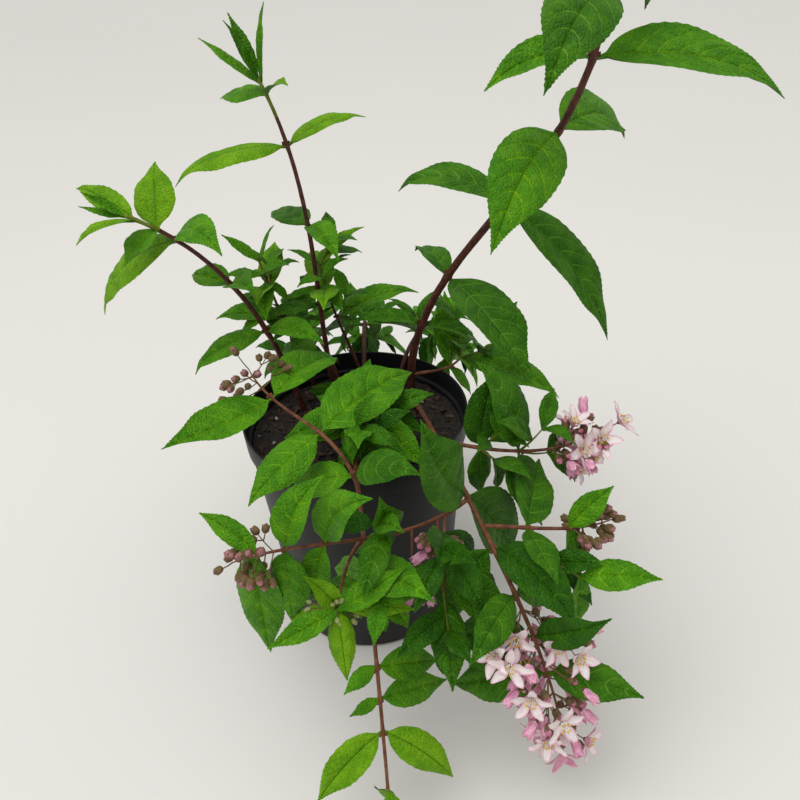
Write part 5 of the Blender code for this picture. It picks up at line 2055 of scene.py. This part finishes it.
@dataclass
class Blossom(Grown):
    """Flower heads: stalks, buds in their cups and open flowers with stamens."""
    stalk_sides: int = 6
    stalk_steps: int = 5
    stalk_radii: tuple = (0.000456, 0.000342)
    stalk_sag: float = 0.06
    bud_scale: float = 1.36
    bud: Husk = Husk(((-0.05, 0.34), (0.10, 0.40), (0.30, 0.41), (0.50, 0.32), (0.66, 0.18), (0.74, 0.07)),
                     (-0.10, 0.78), twist=0.8, fold=0.07)
    cup: Husk = Husk(((-0.50, 0.14), (-0.42, 0.30), (-0.20, 0.42), (0.02, 0.46), (0.34, 0.46)),
                     (-0.55, 0.05), tooth=0.16)
    petals: int = 5
    petal_rows: int = 10
    petal_columns: tuple = (-1.0, -0.68, -0.36, 0.0, 0.36, 0.68, 1.0)
    petal_scale: float = 1.06
    petal_lengths: tuple = (0.94, 0.10)
    petal_cups: tuple = (0.16, 0.06)
    petal_width: float = 0.46
    petal_round: float = 0.52
    petal_point: float = 0.72
    petal_foot: float = 0.16
    petal_start: float = 0.0012
    petal_rise: float = 46.0
    petal_turn: float = 0.75
    petal_crease: float = 0.10
    flower_play: float = 9.0
    rise_play: float = 5.0
    turn_play: float = 0.06
    closed_share: float = 0.30
    closed_early: float = 0.62
    early_share: float = 0.42
    closed_rise: float = 76.0
    closed_turn: float = -0.20
    closed_length: float = 0.86
    face_light: float = 0.75
    petal_thickness: float = 0.00016
    ruffle: float = 0.035
    ruffle_waves: float = 1.7
    stamens: int = 10
    stamen_foot: float = 0.0009
    stamen_length: float = 0.40
    stamen_lengths: tuple = (0.8, 0.3)
    stamen_rings: tuple = ((0.0, 0.00045), (0.6, 0.00040), (1.0, 0.00016))
    anther: float = 0.00088
    anther_profile: tuple = (((-0.6, 0.42), (0.0, 0.66), (0.7, 0.42)), (-1.0, 1.1))
    flower_cup: float = 0.0032
    seed: int = 9

    def __post_init__(self) -> None:
        """Start the row of random numbers and the empty pieces."""
        self.rng = np.random.default_rng(self.seed)
        self.pieces = {name: Basket() for name in ("flower_stalks", "flower_buds", "petals", "stamens")}

    def build(self) -> None:
        """Build all heads: stalks, buds and cups, petals, and stamens."""
        for cane in CANES:
            ripeness = HEAD_RIPENESS.get(cane.name, Ripeness.ROSY)
            blooms = self.growth.blooms[cane.name]
            ways = [float(np.linalg.norm(np.subtract(bloom.root, blooms[0].root))) for bloom in blooms]
            for bloom, way in zip(blooms, ways):
                self.add_stalk(bloom)
                if not bloom.is_open:
                    self.add_bud(bloom, ripeness)
                    continue
                closed = self.closed_early if way < self.early_share * max(ways) else self.closed_share
                self.add_flower(bloom, 1.0 if ripeness is Ripeness.BELL else closed)
        for (name, basket), sharp in zip(self.pieces.items(), (80.0, 60.0, 75.0, 60.0)):
            slot = Slot.BARK if name == "flower_stalks" else Slot.FOLIAGE
            seat(basket.build(name, self.finishes, sharp), slot)

    def add_stalk(self, bloom: Bloom) -> None:
        """Add a bloom's thin stalk, bowed a little down.

        Args:
            bloom: The bloom.
        """
        root, way = np.array(bloom.root), np.array(bloom.centre) - np.array(bloom.root)
        sag = UP * self.stalk_sag * float(np.linalg.norm(way))
        shares = [i / self.stalk_steps for i in range(self.stalk_steps + 1)]
        line = np.array([root + way * share - sag * sin(pi * share) for share in shares])
        self.pieces["flower_stalks"].add_tube(line, self.stalk_radii, self.stalk_sides, line[-1], CALYX)

    def add_bud(self, bloom: Bloom, ripeness: Ripeness) -> None:
        """Add a closed bud in its cup.

        Args:
            bloom: The bud.
            ripeness: How far it has come.
        """
        is_green = ripeness is Ripeness.GREEN
        centre, facing = np.array(bloom.centre), np.array(bloom.facing)
        size = bloom.size * (1.0 if is_green else self.bud_scale)
        buds = self.pieces["flower_buds"]
        self.cup.add(buds, centre, facing, size, BUD_GREEN if is_green else CALYX)
        self.bud.add(buds, centre, facing, size, BUD_TONES.get(ripeness, BUD_ROSE))

    def add_flower(self, bloom: Bloom, closed: float) -> None:
        """Add an open flower.

        Args:
            bloom: The flower.
            closed: The chance that it is half open.
        """
        rng = self.rng
        centre, facing = np.array(bloom.centre), np.array(bloom.facing)
        is_closed = rng.random() < closed
        if not is_closed:
            facing = unit(facing + LIGHT * self.face_light)
        side, top = stem_frame(facing)
        self.cup.add(self.pieces["flower_buds"], centre, facing, self.flower_cup, CALYX)
        first = 2.0 * pi * rng.random() / self.petals
        spread = rng.normal(0.0, self.flower_play)
        for turn in turns_of(self.petals):
            out = swung(side, top, first + turn + rng.normal(0.0, self.turn_play))
            length = bloom.size * self.petal_scale * picked(rng, self.petal_lengths)
            rise = self.petal_rise + spread + rng.normal(0.0, self.rise_play)
            petal = Petal(centre, facing, out, length, rise, self.petal_turn, (WHITE, EDGE))
            if is_closed:
                petal = replace(petal, length=length * self.closed_length, rise=self.closed_rise,
                                bend=self.closed_turn, shades=(EDGE, ROSE))
            self.add_petal(petal)
        for k in range(0 if is_closed else self.stamens):
            out = swung(side, top, 2.0 * pi * (k + 0.3 * rng.random()) / self.stamens)
            grow = unit(facing + out * (0.30 + 0.16 * (k % 2) + 0.08 * rng.random()))
            foot = centre + out * self.stamen_foot
            way = grow * bloom.size * self.stamen_length * picked(rng, self.stamen_lengths)
            rings = [ring_corners(foot + way * share, grow, width, 5) for share, width in self.stamen_rings]
            self.pieces["stamens"].add_rings(rings, foot, foot + way, FILAMENT)
            self.pieces["stamens"].add_pod(foot + way, grow, self.anther, self.anther_profile, 6, ANTHER)

    def add_petal(self, petal: Petal) -> None:
        """Add one petal.

        Args:
            petal: The petal.
        """
        u = np.array(self.petal_columns)
        steps = self.petal_rows - 1
        out, facing = petal.out, petal.facing
        across = np.cross(out, facing)
        point = petal.centre + out * self.petal_start
        phase = 2.0 * pi * self.rng.random()
        cup = picked(self.rng, self.petal_cups)
        widest = self.petal_round / (self.petal_round + self.petal_point)
        peak = widest ** self.petal_round * (1.0 - widest) ** self.petal_point
        top, under = [], []
        for v in (i / steps for i in range(self.petal_rows)):
            angle = radians(petal.rise * (1.0 - petal.bend * v))
            upper = facing * cos(angle) - out * sin(angle)
            whole = v ** self.petal_round * (1.0 - v) ** self.petal_point / peak
            half = 0.5 * self.petal_width * petal.length * max(whole, self.petal_foot * (1.0 - v))
            wave = np.sin(2.0 * pi * self.ruffle_waves * v + phase + u)
            ruffle = self.ruffle * petal.length * u ** 2 * wave
            lift = cup * half * u ** 2 + ruffle - self.petal_crease * half * (u == 0.0)
            top.append(point + across * (half * u)[:, None] + upper * lift[:, None])
            under.append(top[-1] - upper * self.petal_thickness)
            point = point + swung(out, facing, angle) * petal.length / steps
        tones = np.full((steps, len(u) - 1), petal.shades[0])
        tones[:, [0, -1]] = petal.shades[1]
        tones[-1] = petal.shades[1]
        under = np.array(under)[:, 1:-1]
        self.pieces["petals"].add_sheet(np.array(top), under, tones.reshape(-1).tolist(), ROSE)


@dataclass
class Studio:
    """A pale floor, soft lights and the camera."""
    floor_radius: float = 9.0
    floor_rings: int = 24
    floor_steps: int = 96
    floor_thickness: float = 0.01
    panel_place: Colour = (-0.30, -0.20, 2.1)
    panel_power: float = 9.0
    panel_size: float = 1.6
    sky: Colour = (1.0, 0.985, 0.94)
    sky_strength: float = 0.56
    sun_power: float = 1.15
    sun_angle: float = 60.0
    sun_place: Colour = (-1.0, -0.75, 3.0)
    aim: Colour = (0.0, 0.0, 0.2)
    camera_place: Colour = (0.0, -0.510, 0.535)
    pitch: float = 33.75
    yaw: float = 3.86
    roll: float = -3.53
    lens: float = 36.585
    sensor: float = 36.0
    finish: BackdropFinish = BackdropFinish()

    def build(self) -> None:
        """Build the floor, the light and the camera."""
        radii = [self.floor_radius * (r / self.floor_rings) ** 2 for r in range(self.floor_rings, 0, -1)]
        rings = [ring_corners(UP * 0.0, UP, radius, self.floor_steps) for radius in radii]
        under = UP * -self.floor_thickness
        basket = Basket()
        basket.add_rings([[corner + under for corner in rings[0]], *rings], under, UP * 0.0, 0)
        basket.build("pale_floor", [self.finish.material()])
        world = bpy.data.worlds.new("soft_room")
        world.use_nodes = True
        background = world.node_tree.nodes["Background"]
        background.inputs["Color"].default_value = (*self.sky, 1.0)
        background.inputs["Strength"].default_value = self.sky_strength
        bpy.context.scene.world = world
        bpy.context.scene.view_settings.view_transform = "Standard"
        self.lamp("wide_daylight", "SUN", self.sun_place, self.sun_power, angle=radians(self.sun_angle))
        self.lamp("overhead_panel", "AREA", self.panel_place, self.panel_power, shape="SQUARE",
                  size=self.panel_size)
        self.camera()

    def lamp(self, name: str, kind: str, place: Colour, power: float, **settings: Any) -> None:
        """Hang one soft light that looks at the plant.

        Args:
            name: Its name.
            kind: The type of light.
            place: Where it hangs.
            power: Its power.
            settings: Its other settings.
        """
        light = bpy.data.lights.new(name, kind)
        light.energy = power
        for key, value in settings.items():
            setattr(light, key, value)
        thing = bpy.data.objects.new(name, light)
        thing.location = place
        thing.rotation_euler = (Vector(self.aim) - Vector(place)).to_track_quat("-Z", "Y").to_euler()
        bpy.context.scene.collection.objects.link(thing)

    def camera(self) -> None:
        """Set the camera at the photograph's viewing angle."""
        p, y, r = radians(self.pitch), radians(self.yaw), radians(self.roll)
        ahead = Vector((sin(y) * cos(p), cos(y) * cos(p), -sin(p)))
        right = Vector((cos(y), -sin(y), 0.0))
        up = right.cross(ahead)
        turned_right, turned_up = swung(right, up, r), swung(up, -right, r)
        lens = bpy.data.cameras.new("photo_camera")
        lens.lens = self.lens
        lens.sensor_width = self.sensor
        thing = bpy.data.objects.new("photo_camera", lens)
        turn = Matrix((turned_right, turned_up, -ahead)).transposed().to_4x4()
        thing.matrix_world = Matrix.Translation(self.camera_place) @ turn
        bpy.context.scene.collection.objects.link(thing)
        bpy.context.scene.camera = thing


MAROON_SHOOTS = {"tall_right", "tall_left", "left", "inner_middle", "inner_left", "back", "back_left",
                 "back_right"}
LEAF_GROUPS = {
    "leaves_tall_right": ("tall_right", "inner_right"),
    "leaves_left": ("tall_left", "left", "inner_middle", "inner_left"),
    "leaves_front": ("front", "front_left", "front_whorl", "inner_front"),
    "leaves_bloom": ("bloom", "inner_bloom", "shade_right", "faded_twig", "pink_twig"),
    "leaves_side": ("low_left", "right", "low_right"),
    "leaves_back": ("back", "back_left", "back_right"),
}


def main() -> None:
    """Grow the plant, build each piece and set the stage."""
    logging.basicConfig(level=logging.INFO, format="%(message)s")
    NurseryPot().build()
    Compost().build()
    growth = Growth()
    LOG.info("leaves: %d, blooms: %d, side twigs: %d", sum(map(len, growth.leaves.values())),
             sum(map(len, growth.blooms.values())), sum(map(len, growth.twigs.values())))
    Stems(growth, [finish.material() for finish in STEM_FINISHES]).build()
    Foliage(growth, [finish.material() for finish in LEAF_FINISHES]).build()
    Blossom(growth, [finish.material() for finish in BLOSSOM_FINISHES]).build()
    Studio().build()


if __name__ == "__main__":
    main()
